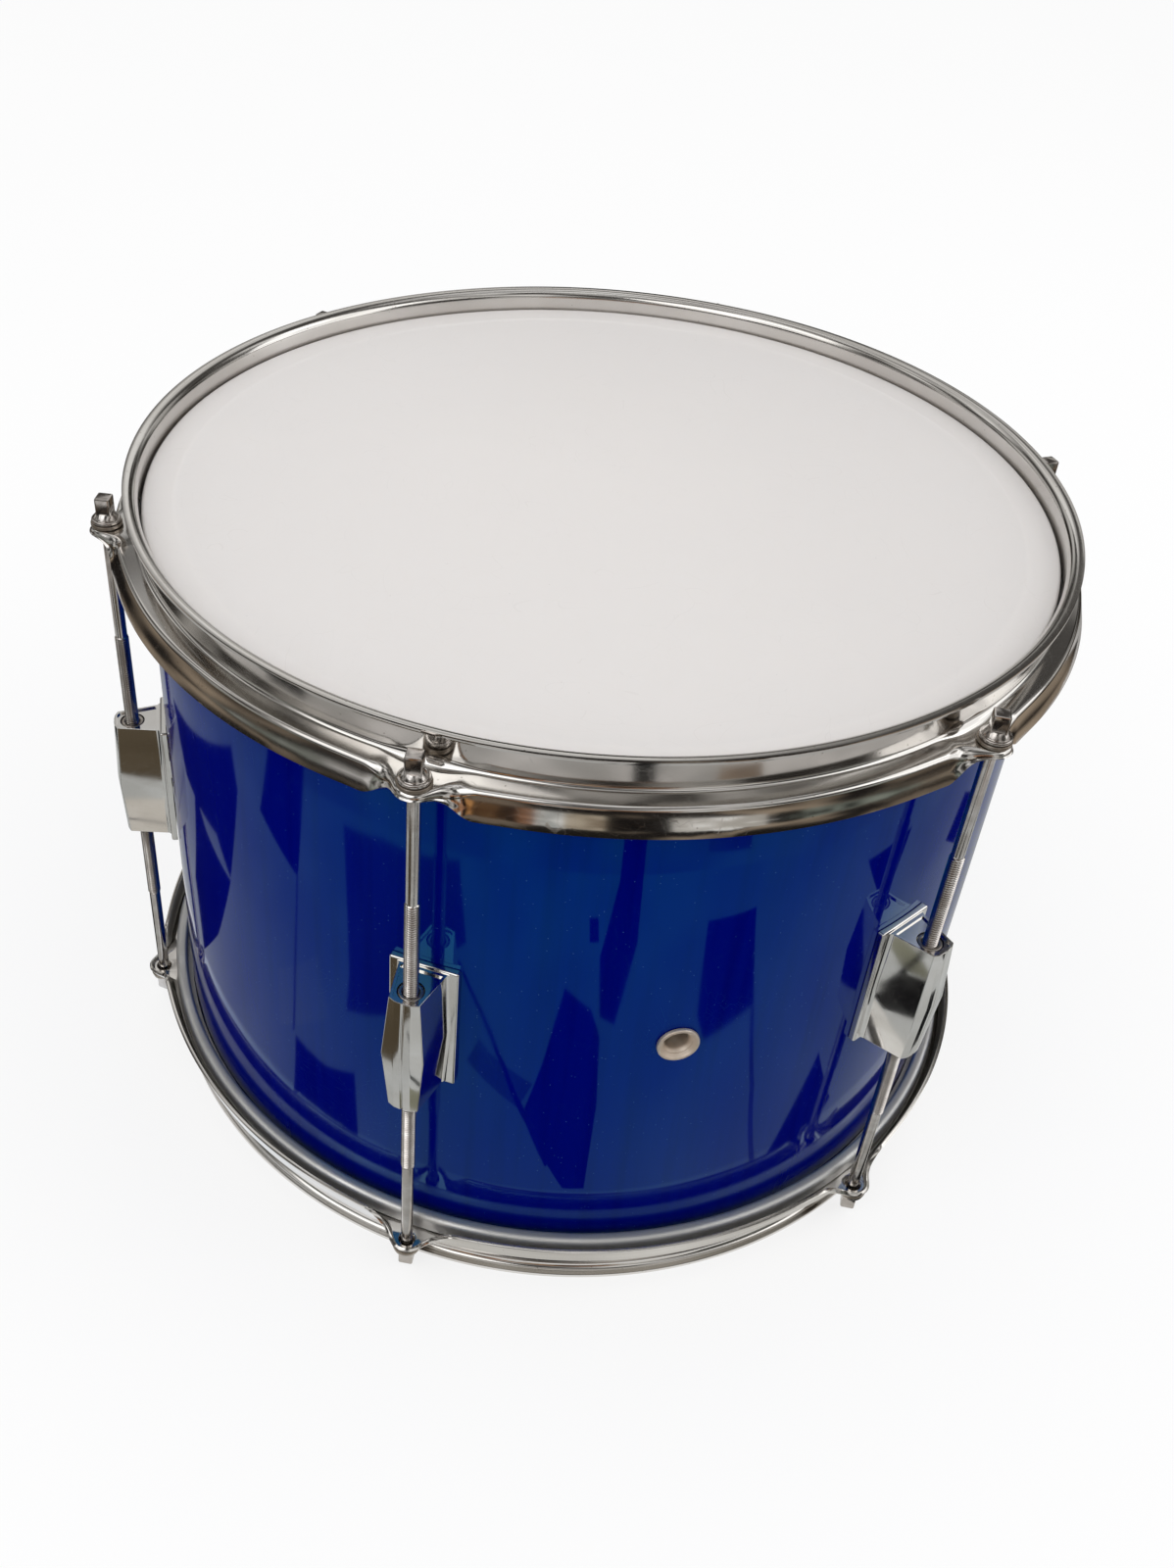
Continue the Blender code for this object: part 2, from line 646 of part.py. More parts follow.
vent = place("vent_grommet", vent_mesh(), pale_metal, round_the_drum(SHELL_RADIUS, VENT_ANGLE, MIDDLE))
vent.rotation_euler = (0.0, math.pi / 2, VENT_ANGLE)
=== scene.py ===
"""Tenor drum: the dressed model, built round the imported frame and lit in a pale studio. Metres, +Z up."""
import math

import bmesh
import bpy
from mathutils import Matrix, Vector


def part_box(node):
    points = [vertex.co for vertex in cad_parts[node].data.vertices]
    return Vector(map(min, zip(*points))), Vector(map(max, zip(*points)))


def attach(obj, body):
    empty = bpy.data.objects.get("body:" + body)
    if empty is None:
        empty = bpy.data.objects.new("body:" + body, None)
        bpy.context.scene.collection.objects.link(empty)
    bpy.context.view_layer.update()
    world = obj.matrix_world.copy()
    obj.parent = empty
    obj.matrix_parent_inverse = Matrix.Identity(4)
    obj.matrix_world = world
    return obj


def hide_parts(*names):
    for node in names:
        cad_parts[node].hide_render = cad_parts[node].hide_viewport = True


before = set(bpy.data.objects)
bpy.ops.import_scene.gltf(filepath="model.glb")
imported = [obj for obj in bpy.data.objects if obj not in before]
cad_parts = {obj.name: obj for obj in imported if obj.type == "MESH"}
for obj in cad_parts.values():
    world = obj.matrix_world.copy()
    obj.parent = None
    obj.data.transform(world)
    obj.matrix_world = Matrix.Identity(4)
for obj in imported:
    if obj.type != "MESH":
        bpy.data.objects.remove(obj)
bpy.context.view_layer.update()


# Shell: plies of birch bent into a cylinder, bevelled to a bearing edge at both ends and sprayed with
# deep blue lacquer outside. It is bored for the air vent, and for two screws behind each lug.
shell_radius = 0.1778
shell_length = 0.254
shell_wall = 0.006
bearing_round = 0.0016
bearing_flat = 0.0014
shell_steps = 360
lip_rise = 0.0093
drum_height = shell_length + 2 * lip_rise
middle = drum_height / 2
vent_angle = math.radians(-90)
vent_hole = 0.0059
pitch = math.radians(60)
first_lug = vent_angle + pitch / 2
lug_count = 6
screw_hole = 0.0023
screw_rise = 0.007
drill_band = 0.0105
drill_steps = 32


def turned(profile, steps, rounds=(), ring=True):
    """A body turned about Z from (radius, z) points. Each of rounds gives corner numbers, a distance and a count."""
    work = bmesh.new()
    corners = [work.verts.new((radius, 0.0, z)) for radius, z in profile]
    for here, there in zip(corners, corners[1:] + corners[:1] if ring else corners[1:]):
        work.edges.new((here, there))
    for numbers, distance, segments in rounds:
        bmesh.ops.bevel(work, geom=[corners[number] for number in numbers], offset=distance, affect="VERTICES",
                        segments=segments, profile=0.5, material=-1)
    bmesh.ops.spin(work, geom=work.verts[:] + work.edges[:], cent=(0, 0, 0), axis=(0, 0, 1),
                   angle=2 * math.pi, steps=steps, use_merge=True)
    bmesh.ops.remove_doubles(work, verts=work.verts, dist=1e-6)
    bmesh.ops.recalc_face_normals(work, faces=work.faces)
    return work


def placed(work, matrix):
    """The same body, carried by a matrix."""
    bmesh.ops.transform(work, matrix=matrix, verts=work.verts)
    return work


def together(bodies):
    """Several bodies in one bmesh."""
    result = bmesh.new()
    for work in bodies:
        mesh = bpy.data.meshes.new("part")
        work.to_mesh(mesh)
        work.free()
        result.from_mesh(mesh)
        bpy.data.meshes.remove(mesh)
    return result


def worked(work, steps):
    """The body after some steps, each a thickness for its sheet or a Boolean operation with its tool."""
    def blank(name, shape):
        mesh = bpy.data.meshes.new(name)
        shape.to_mesh(mesh)
        shape.free()
        thing = bpy.data.objects.new(name, mesh)
        bpy.context.scene.collection.objects.link(thing)
        return thing

    things = [blank("blank", work)]
    for operation, value in steps:
        if operation == "SOLIDIFY":
            sheet = things[0].modifiers.new("Sheet", "SOLIDIFY")
            sheet.thickness = value
            sheet.offset = 0.0
            sheet.use_even_offset = True
            sheet.use_quality_normals = True
        else:
            things.append(blank("tool", value))
            boolean = things[0].modifiers.new("Cut", "BOOLEAN")
            boolean.operation = operation
            boolean.solver = "MANIFOLD"
            boolean.object = things[-1]
    bpy.context.view_layer.update()
    result = bmesh.new()
    result.from_object(things[0], bpy.context.evaluated_depsgraph_get())
    for thing in things:
        mesh = thing.data
        bpy.data.objects.remove(thing)
        bpy.data.meshes.remove(mesh)
    return result


def finished(name, work, finishes, body, replaced=(), crease=35):
    """A piece of the drum from its body: finish, smooth shading between creases, and its place in the frame."""
    mesh = bpy.data.meshes.new(name)
    work.to_mesh(mesh)
    work.free()
    for finish in finishes:
        mesh.materials.append(finish)
    mesh.shade_smooth()
    mesh.set_sharp_from_angle(angle=math.radians(crease))
    piece = bpy.data.objects.new(name, mesh)
    bpy.context.scene.collection.objects.link(piece)
    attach(piece, body)
    if replaced:
        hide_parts(*replaced)
    return piece


def add(tree, kind, inputs, **settings):
    """A shader node, with its settings, and with a value or a link for each of the inputs named."""
    node = tree.nodes.new("ShaderNode" + kind)
    for name, value in settings.items():
        setattr(node, name, value)
    for name, value in inputs.items():
        if isinstance(value, bpy.types.NodeSocket):
            tree.links.new(value, node.inputs[name])
        else:
            node.inputs[name].default_value = value
    return node


def effect(name, inputs, outputs):
    """An empty node group, its own input node and its output node."""
    tree = bpy.data.node_groups.new(name, "ShaderNodeTree")
    for label, value in inputs.items():
        kind = "NodeSocketVector" if isinstance(value, tuple) else "NodeSocketFloat"
        tree.interface.new_socket(label, in_out="INPUT", socket_type=kind).default_value = value
    for label in outputs:
        tree.interface.new_socket(label, in_out="OUTPUT", socket_type="NodeSocketFloat")
    return tree, tree.nodes.new("NodeGroupInput").outputs, tree.nodes.new("NodeGroupOutput")


def use(tree, group, **inputs):
    """A node group placed in a material, with its own values."""
    node = tree.nodes.new("ShaderNodeGroup")
    node.node_tree = group
    for name, value in inputs.items():
        node.inputs[name].default_value = value
    return node.outputs


def principled(name, colour, **sockets):
    """A material with one Principled shader and the values of its plain sockets."""
    made = bpy.data.materials.new(name)
    made.use_nodes = True
    shader = made.node_tree.nodes["Principled BSDF"]
    shader.inputs["Base Color"].default_value = (*colour, 1.0)
    for label, value in sockets.items():
        shader.inputs[label.replace("_", " ")].default_value = value
    return made, made.node_tree, shader


def blend(tree, share, first, second):
    """A colour between two, each a socket or three numbers."""
    mix = tree.nodes.new("ShaderNodeMix")
    mix.data_type = "RGBA"
    tree.links.new(share, mix.inputs["Factor"])
    for socket, value in ((mix.inputs[6], first), (mix.inputs[7], second)):
        if isinstance(value, bpy.types.NodeSocket):
            tree.links.new(value, socket)
        else:
            socket.default_value = (*value, 1.0)
    return mix.outputs[2]


def spread(tree, share, low, high):
    """A value between low and high by a share from 0 to 1."""
    return add(tree, "MapRange", {"Value": share, "To Min": low, "To Max": high}).outputs["Result"]


# Smudges: soft cloudy patches where a surface has been wiped and handled.
smudges, given, wanted = effect("smudges", {"Scale": 20.0, "Stretch": (1.0, 1.0, 1.0), "Cover": 0.5}, ["Mask"])
place = add(smudges, "TexCoord", {}).outputs["Object"]
stretched = add(smudges, "VectorMath", {0: place, 1: given["Stretch"]}, operation="MULTIPLY").outputs[0]
cloud = add(smudges, "TexNoise", {"Vector": stretched, "Scale": given["Scale"], "Detail": 4.0, "Roughness": 0.55})
edge = add(smudges, "Math", {0: 0.72, 1: given["Cover"]}, operation="SUBTRACT").outputs[0]
above = add(smudges, "Math", {0: cloud.outputs[0], 1: edge}, operation="SUBTRACT").outputs[0]
mask = add(smudges, "Math", {0: above, 1: 3.2}, operation="MULTIPLY", use_clamp=True).outputs[0]
smudges.links.new(mask, wanted.inputs["Mask"])

# Ripple: the slow unevenness of a formed surface, in metres of height.
ripple, given, wanted = effect("ripple", {"Scale": 20.0, "Stretch": (1.0, 1.0, 1.0), "Depth": 0.0001}, ["Height"])
place = add(ripple, "TexCoord", {}).outputs["Object"]
stretched = add(ripple, "VectorMath", {0: place, 1: given["Stretch"]}, operation="MULTIPLY").outputs[0]
swell = add(ripple, "TexNoise", {"Vector": stretched, "Scale": given["Scale"], "Detail": 1.5, "Roughness": 0.4})
height = add(ripple, "Math", {0: swell.outputs[0], 1: given["Depth"]}, operation="MULTIPLY").outputs[0]
ripple.links.new(height, wanted.inputs["Height"])

# Scratches: hairlines left by cloths and sticks. The mask is 1 in a scratch.
scratches, given, wanted = effect("scratches", {"Scale": 60.0, "Width": 0.012, "Cover": 0.5}, ["Mask"])
place = add(scratches, "TexCoord", {}).outputs["Object"]
bent = add(scratches, "TexNoise", {"Vector": place, "Scale": 9.0, "Detail": 1.0})
shifted = add(scratches, "VectorMath", {0: place, 1: bent.outputs["Color"]}, operation="ADD").outputs[0]
hair = add(scratches, "TexVoronoi", {"Vector": shifted, "Scale": given["Scale"]}, feature="DISTANCE_TO_EDGE")
line = add(scratches, "Math", {0: hair.outputs["Distance"], 1: given["Width"]}, operation="LESS_THAN").outputs[0]
patch = add(scratches, "TexNoise", {"Vector": place, "Scale": 35.0, "Detail": 2.0}).outputs[0]
edge = add(scratches, "Math", {0: 0.8, 1: given["Cover"]}, operation="SUBTRACT").outputs[0]
kept = add(scratches, "Math", {0: patch, 1: edge}, operation="GREATER_THAN").outputs[0]
mask = add(scratches, "Math", {0: line, 1: kept}, operation="MULTIPLY").outputs[0]
scratches.links.new(mask, wanted.inputs["Mask"])

# Specks: settled dust and grains under the finish. The mask is 1 in a speck.
specks, given, wanted = effect("specks", {"Scale": 900.0, "Size": 0.12, "Cover": 0.3}, ["Mask"])
place = add(specks, "TexCoord", {}).outputs["Object"]
grain = add(specks, "TexVoronoi", {"Vector": place, "Scale": given["Scale"]})
small = add(specks, "Math", {0: grain.outputs["Distance"], 1: given["Size"]}, operation="LESS_THAN").outputs[0]
pick = add(specks, "SeparateColor", {"Color": grain.outputs["Color"]}).outputs["Red"]
some = add(specks, "Math", {0: pick, 1: given["Cover"]}, operation="LESS_THAN").outputs[0]
mask = add(specks, "Math", {0: small, 1: some}, operation="MULTIPLY").outputs[0]
specks.links.new(mask, wanted.inputs["Mask"])

# Lacquer: pure blue in the depth, with upright streaks from the veneer below. Its gloss has a low index and a strong
# blue tint, so that the pale floor shows in it as a lighter blue and not as grey.
lacquer, tree, shader = principled("shell lacquer", (0.0, 0.001, 0.106), Roughness=0.05, IOR=1.2,
                                   Specular_Tint=(0.0, 4.0, 4.9, 1.0))
streaks = use(tree, smudges, Scale=60.0, Stretch=(3.0, 3.0, 0.12), Cover=0.5)["Mask"]
haze = use(tree, smudges, Scale=11.0, Cover=0.4)["Mask"]
dust = use(tree, specks, Scale=700.0, Size=0.14, Cover=0.1)["Mask"]
hairs = use(tree, scratches, Scale=55.0, Width=0.004, Cover=0.28)["Mask"]
body_colour = blend(tree, streaks, (0.0, 0.0005, 0.096), (0.0, 0.0015, 0.120))
tree.links.new(blend(tree, dust, body_colour, (0.03, 0.06, 0.22)), shader.inputs["Base Color"])
polish = spread(tree, haze, 0.028, 0.075)
scuffed = add(tree, "Math", {0: hairs, 1: 0.2, 2: polish}, operation="MULTIPLY_ADD").outputs[0]
tree.links.new(scuffed, shader.inputs["Roughness"])
lie = use(tree, ripple, Scale=16.0, Stretch=(1.0, 1.0, 0.35), Depth=0.00032)["Height"]
skin = use(tree, ripple, Scale=420.0, Depth=0.0000014)["Height"]
surface = add(tree, "Math", {0: lie, 1: skin}, operation="ADD").outputs[0]
tree.links.new(add(tree, "Bump", {"Height": surface, "Distance": 1.0, "Strength": 1.0}).outputs[0],
               shader.inputs["Normal"])

# Bare birch: upright grain inside, and the plies as rings on the bearing edges.
birch, tree, shader = principled("bare birch", (0.55, 0.40, 0.25), Roughness=0.6)
place = add(tree, "TexCoord", {}).outputs["Object"]
fibres = add(tree, "VectorMath", {0: place, 1: (220.0, 220.0, 9.0)}, operation="MULTIPLY").outputs[0]
grain = add(tree, "TexNoise", {"Vector": fibres, "Scale": 1.0, "Detail": 5.0, "Distortion": 0.4}).outputs[0]
figure = use(tree, smudges, Scale=14.0, Stretch=(1.0, 1.0, 0.3), Cover=0.5)["Mask"]
wood = blend(tree, grain, (0.62, 0.46, 0.29), (0.44, 0.30, 0.17))
wood = blend(tree, spread(tree, figure, 0.0, 0.35), wood, (0.50, 0.34, 0.19))
flat = add(tree, "VectorMath", {0: place, 1: (1.0, 1.0, 0.0)}, operation="MULTIPLY").outputs[0]
radius = add(tree, "VectorMath", {0: flat}, operation="LENGTH").outputs["Value"]
plies = add(tree, "Math", {0: radius, 1: 6.0 / shell_wall}, operation="MULTIPLY").outputs[0]
glue = add(tree, "Math", {0: plies, 1: 1.0}, operation="PINGPONG").outputs[0]
normal = add(tree, "SeparateXYZ", {0: add(tree, "TexCoord", {}).outputs["Normal"]}).outputs["Z"]
upright = add(tree, "Math", {0: normal}, operation="ABSOLUTE").outputs[0]
ends = add(tree, "Math", {0: glue, 1: upright}, operation="MULTIPLY").outputs[0]
tree.links.new(blend(tree, ends, wood, (0.30, 0.18, 0.09)), shader.inputs["Base Color"])
tree.links.new(spread(tree, grain, 0.5, 0.72), shader.inputs["Roughness"])
tree.links.new(add(tree, "Bump", {"Height": grain, "Distance": 0.0002, "Strength": 0.6}).outputs[0],
               shader.inputs["Normal"])

inside = shell_radius - shell_wall
peak = shell_radius - bearing_round - bearing_flat
slope = peak - inside
low = lip_rise
high = lip_rise + shell_length
tube = turned([
    (shell_radius, low), (shell_radius, middle - drill_band), (shell_radius, middle + drill_band),
    (shell_radius, high), (peak, high), (inside, high - slope), (inside, middle + drill_band),
    (inside, middle - drill_band), (inside, low + slope), (peak, low),
], shell_steps, rounds=[((0, 3), bearing_round, 6), ((4, 9), 0.0003, 2), ((5, 8), 0.0006, 2)])


def drill(radius, angle, z):
    """A drill through the shell's wall."""
    bit = turned([(0.0, -2 * shell_wall), (radius, -2 * shell_wall), (radius, 2 * shell_wall), (0.0, 2 * shell_wall)],
                 drill_steps, ring=False)
    return placed(bit, Matrix.Rotation(angle, 4, "Z") @ Matrix.Translation((shell_radius, 0.0, z))
                  @ Matrix.Rotation(math.pi / 2, 4, "Y"))


drills = [drill(vent_hole, vent_angle, middle)]
for index in range(lug_count):
    for side in (-1, 1):
        drills.append(drill(screw_hole, first_lug + pitch * index, middle + side * screw_rise))
tube = worked(tube, [("DIFFERENCE", together(drills))])
for face in tube.faces:
    spot = face.calc_center_median()
    face.material_index = 0 if math.hypot(spot.x, spot.y) > shell_radius - bearing_round / 2 else 1
finished("lacquered_shell", tube, [lacquer, birch], "shell", ["shell"])


# Air vent: a turned eyelet of plated brass, pushed through the shell and clinched over inside. Its mouth is
# dished behind a raised rim.
vent_bore = 0.0046
vent_tube = vent_bore + 0.001
vent_flange = 0.008
vent_rim_width = 0.0014
vent_rim_height = 0.0016
vent_clinch = 0.0073
vent_clinch_thickness = 0.0008
seat = 0.0003

nickel, tree, shader = principled("vent plating", (0.74, 0.70, 0.62), Roughness=0.2, Metallic=1.0)
wiped = use(tree, smudges, Scale=120.0, Cover=0.5)["Mask"]
hairs = use(tree, scratches, Scale=240.0, Width=0.01, Cover=0.4)["Mask"]
tree.links.new(blend(tree, wiped, (0.94, 0.87, 0.79), (0.84, 0.74, 0.64)), shader.inputs["Base Color"])
worn = add(tree, "Math", {0: hairs, 1: 0.15, 2: spread(tree, wiped, 0.42, 0.6)}, operation="MULTIPLY_ADD").outputs[0]
tree.links.new(worn, shader.inputs["Roughness"])
turning = use(tree, ripple, Scale=900.0, Depth=0.000006)["Height"]
tree.links.new(add(tree, "Bump", {"Height": turning, "Distance": 1.0}).outputs[0], shader.inputs["Normal"])

inner_face = -shell_wall - 2 * seat
vent = turned([
    (vent_flange, seat),
    (vent_flange, seat + vent_rim_height * 0.75),
    (vent_flange - vent_rim_width * 0.35, seat + vent_rim_height),
    (vent_flange - vent_rim_width * 0.8, seat + vent_rim_height),
    (vent_flange - vent_rim_width, seat + vent_rim_height * 0.55),
    (vent_bore + 0.0013, seat * 1.6),
    (vent_bore, -0.0011),
    (vent_bore, inner_face - vent_clinch_thickness),
    (vent_clinch - 0.0006, inner_face - vent_clinch_thickness),
    (vent_clinch, inner_face - vent_clinch_thickness / 2),
    (vent_clinch, inner_face),
    (vent_tube, inner_face),
    (vent_tube, seat),
], 64, rounds=[((1, 2, 3, 4), 0.00035, 3), ((7, 8), 0.0003, 3), ((5,), 0.0003, 2), ((6,), 0.0008, 4)])
finished("air_vent", placed(vent, Matrix.Rotation(vent_angle, 4, "Z") @ Matrix.Translation((shell_radius, 0.0, middle))
                            @ Matrix.Rotation(math.pi / 2, 4, "Y")), [nickel], "shell", ["vent_grommet"])


# Lug screws: zinc-plated steel, driven from inside the shell into the web of each lug. They keep the frame's
# own shape, since the heads and the shell hide them.
zinc, tree, shader = principled("zinc plate", (0.60, 0.60, 0.58), Roughness=0.3, Metallic=1.0)
dull = use(tree, smudges, Scale=260.0, Cover=0.55)["Mask"]
spangle = use(tree, specks, Scale=1500.0, Size=0.5, Cover=0.4)["Mask"]
tone = blend(tree, dull, (0.66, 0.66, 0.65), (0.46, 0.46, 0.45))
tree.links.new(blend(tree, spread(tree, spangle, 0.0, 0.3), tone, (0.72, 0.72, 0.70)), shader.inputs["Base Color"])
tree.links.new(spread(tree, dull, 0.22, 0.46), shader.inputs["Roughness"])
for name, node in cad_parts.items():
    if "_lug_screw_" in name:
        node.data.materials.clear()
        node.data.materials.append(zinc)


# Swivel nuts: turned steel nuts, held loosely inside each lug behind its round mouth, with a neck that fills the
# mouth and a flange that the rod's pull seats against the end plate.
rod_standoff = 0.0137
rod_circle = shell_radius + rod_standoff
mouth_radius = 0.005
nut_clearance = 0.0004
nut_neck = mouth_radius - nut_clearance
nut_flange = mouth_radius + 0.0007
nut_bore = 0.0031
nut_length = 0.012
nut_neck_length = 0.0022
lug_half_length = 0.0283
lug_rim_height = 0.0008
lug_end_plate = 0.002
plate_inside = lug_half_length - lug_rim_height - lug_end_plate

nut_steel, tree, shader = principled("plated nut steel", (0.66, 0.64, 0.61), Roughness=0.18, Metallic=1.0)
dull = use(tree, smudges, Scale=300.0, Cover=0.5)["Mask"]
tree.links.new(blend(tree, dull, (0.72, 0.70, 0.68), (0.42, 0.38, 0.34)), shader.inputs["Base Color"])
tree.links.new(spread(tree, dull, 0.12, 0.38), shader.inputs["Roughness"])


turned_over = Matrix.Diagonal((1.0, -1.0, -1.0, 1.0))


def on_lug(index, end, height=0.0):
    """The place of a fitting on rod number index: upright in the top half, turned over in the bottom half."""
    flip = turned_over if end == "bottom" else Matrix.Identity(4)
    z = drum_height - height if end == "bottom" else height
    return (Matrix.Rotation(first_lug + pitch * index, 4, "Z") @ Matrix.Translation((rod_circle, 0.0, z)) @ flip)


nut = turned([
    (nut_bore, -nut_length), (nut_flange, -nut_length), (nut_flange, 0.0), (nut_neck, 0.0),
    (nut_neck, nut_neck_length), (nut_bore, nut_neck_length),
], 36, rounds=[((1, 2, 3), 0.0003, 2), ((4, 5), 0.0004, 3)])
for index in range(lug_count):
    for end in ("top", "bottom"):
        stand = on_lug(index, end, middle + plate_inside - seat)
        finished(f"swivel_nut_{end}_{index + 1}", placed(nut.copy(), stand), [nut_steel], "shell",
                 [f"{end}_nut_{index + 1}"])


# Lugs: hollow zinc castings, chromed, each screwed to the shell over a foot curved to fit it. A lug is widest at
# mid-height, creased there, and has a grooved face in front and a sunk end plate with a round mouth at both ends.
lug_wall = 0.0011
lug_rim_width = 0.001
lug_front_taper = 0.0014
lug_base_taper = 0.0017
lug_front_belly = 0.0023
lug_base_belly = 0.0012
lug_nose_belly = 0.0013
lug_crown = 0.0014
lug_face = 0.0033
lug_face_crown = 0.0003
lug_groove = 0.0006
lug_groove_depth = 0.0005
lug_web = 0.0115
foot_half_width = 0.0132
foot_half_length = lug_half_length + 0.001
foot_thickness = 0.0024
foot_edge = 0.0008
foot_fillet = 0.0015
lug_half_width = nut_flange + nut_clearance + lug_wall
lug_depth = rod_standoff + nut_flange + nut_clearance + lug_wall + lug_face_crown
web_depth = rod_standoff - nut_flange - nut_clearance


def lug_plan(z, inset=0.0, base=None):
    """The plan of a lug at a height from its middle: x sideways and y out from the shell, or its inside by inset."""
    belly = 1.0 - abs(z) / lug_half_length
    front = lug_half_width - lug_front_taper + lug_front_belly * belly
    root = lug_half_width + lug_base_taper + lug_base_belly * belly
    nose = lug_depth + lug_nose_belly * belly
    corner = nose - lug_crown
    face_depth = nose - lug_face_crown
    root_depth = foot_thickness + foot_fillet
    if inset:
        lean = (root - front) / (corner - root_depth)
        width = root + lean * (root_depth - base) - inset
        half = [(width, base), (front - inset, corner - inset), (lug_face, face_depth - inset)]
    else:
        half = [
            (root + foot_fillet, foot_thickness / 2),
            (root + foot_fillet, foot_thickness - foot_edge / 2),
            (root + foot_fillet * 0.32, foot_thickness + foot_fillet * 0.32),
            (root, root_depth),
            (front, corner),
            (lug_face, face_depth),
            (lug_groove, nose),
            (0.0, nose - lug_groove_depth),
        ]
    mirrored = [(-x, y) for x, y in reversed(half) if x > 0.0]
    return half + mirrored


def prism(plan, heights):
    """A body through the plan's outlines at some heights."""
    work = bmesh.new()
    outline = work.faces.new([work.verts.new((x, y, heights[0])) for x, y in plan(heights[0])])
    for height in heights[1:]:
        grown = bmesh.ops.extrude_face_region(work, geom=[outline, *outline.edges])
        outline = next(part for part in grown["geom"] if isinstance(part, bmesh.types.BMFace))
        for corner, (x, y) in zip(outline.verts, plan(height)):
            corner.co = (x, y, height)
    bmesh.ops.recalc_face_normals(work, faces=work.faces)
    return work


def lug_casting():
    """One lug, upright, with its origin on the shell's surface at mid-height and y pointing outwards."""
    body = prism(lug_plan, (-lug_half_length, 0.0, lug_half_length))
    edges = [edge for edge in body.edges
             if edge.calc_face_angle(0.0) > 0.13 and min(v.co.y for v in edge.verts) > foot_thickness + foot_fillet / 2]
    bmesh.ops.bevel(body, geom=edges, offset=0.00028, affect="EDGES", segments=2, profile=0.5, material=-1,
                    clamp_overlap=True)
    back = [(x, math.sqrt((shell_radius + seat) ** 2 - x * x) - shell_radius)
            for x in (foot_half_width * step / 6 for step in range(-6, 7))]
    foot = prism(lambda z: back + [(foot_half_width, foot_thickness), (-foot_half_width, foot_thickness)],
                 (-foot_half_length, foot_half_length))
    rim = [edge for edge in foot.edges if max(vert.co.y for vert in edge.verts) > foot_thickness * 0.9]
    bmesh.ops.bevel(foot, geom=rim, offset=foot_edge, affect="EDGES", segments=4, profile=0.5, material=-1,
                    clamp_overlap=True)
    room = prism(lambda z: lug_plan(z, lug_wall, web_depth), (-plate_inside, 0.0, plate_inside))

    def pocket_plan(z):
        """The plan of the pocket behind the rods' room, above and below the web."""
        (width, base), (front, corner) = lug_plan(z, lug_wall, -foot_thickness)[:2]
        reach = (web_depth + foot_fillet - base) / (corner - base)
        narrow = width + (front - width) * reach
        return [(-width, base), (width, base), (narrow, web_depth + foot_fillet), (-narrow, web_depth + foot_fillet)]

    tools = [room]
    for side in (-1, 1):
        tools.append(prism(pocket_plan, (side * lug_web, side * plate_inside)))
    mouth = turned([(0.0, -0.05), (mouth_radius, -0.05), (mouth_radius, 0.05), (0.0, 0.05)], 48, ring=False)
    tools.append(placed(mouth, Matrix.Translation((0.0, rod_standoff, 0.0))))
    sunk = lug_plan(lug_half_length, lug_rim_width, foot_thickness + foot_fillet)
    for side in (-1, 1):
        well = prism(lambda z: sunk, (side * (lug_half_length - lug_rim_height), side * (lug_half_length + 0.01)))
        tools.append(well)
        bore = turned([(0.0, -0.004), (screw_hole, -0.004), (screw_hole, 0.0058), (0.0, 0.0058)], 24, ring=False)
        tools.append(placed(bore, Matrix.Translation((0.0, 0.0, side * screw_rise))
                            @ Matrix.Rotation(-math.pi / 2, 4, "X")))
    return worked(body, [("UNION", foot)] + [("DIFFERENCE", tool) for tool in tools])


def plated(name, bright, dull, roughness, grain, ripple_depth):
    """Chrome plate: bright and dull colours, the roughness when clean and when smudged, and the scale of its marks."""
    made, tree, shader = principled(name, bright, Metallic=1.0)
    wiped = use(tree, smudges, Scale=grain, Stretch=(1.0, 1.0, 1.6), Cover=0.45)["Mask"]
    hairs = use(tree, scratches, Scale=grain * 4.0, Width=0.008, Cover=0.34)["Mask"]
    pits = use(tree, specks, Scale=grain * 45.0, Size=0.16, Cover=0.06)["Mask"]
    plate = blend(tree, spread(tree, wiped, 0.0, 0.8), bright, dull)
    tree.links.new(blend(tree, pits, plate, (0.34, 0.31, 0.28)), shader.inputs["Base Color"])
    clean, handled = roughness
    polish = spread(tree, wiped, clean, handled)
    worn = add(tree, "Math", {0: hairs, 1: 0.1, 2: polish}, operation="MULTIPLY_ADD").outputs[0]
    tree.links.new(worn, shader.inputs["Roughness"])
    lie = use(tree, ripple, Scale=grain * 1.5, Depth=ripple_depth)["Height"]
    tree.links.new(add(tree, "Bump", {"Height": lie, "Distance": 1.0}).outputs[0], shader.inputs["Normal"])
    return made


lug_chrome = plated("lug chrome", (0.82, 0.81, 0.80), (0.72, 0.70, 0.67), (0.035, 0.09), 45.0, 0.00003)
casting = lug_casting()
for index in range(lug_count):
    stand = (Matrix.Rotation(first_lug + pitch * index - math.pi / 2, 4, "Z")
             @ Matrix.Translation((0.0, shell_radius, middle)))
    lug = finished(f"lug_casting_{index + 1}", placed(casting.copy(), stand), [lug_chrome], "shell",
                   [f"lug_{index + 1}"], crease=30)
    weighted = lug.modifiers.new("Flat faces", "WEIGHTED_NORMAL")
    weighted.keep_sharp = True


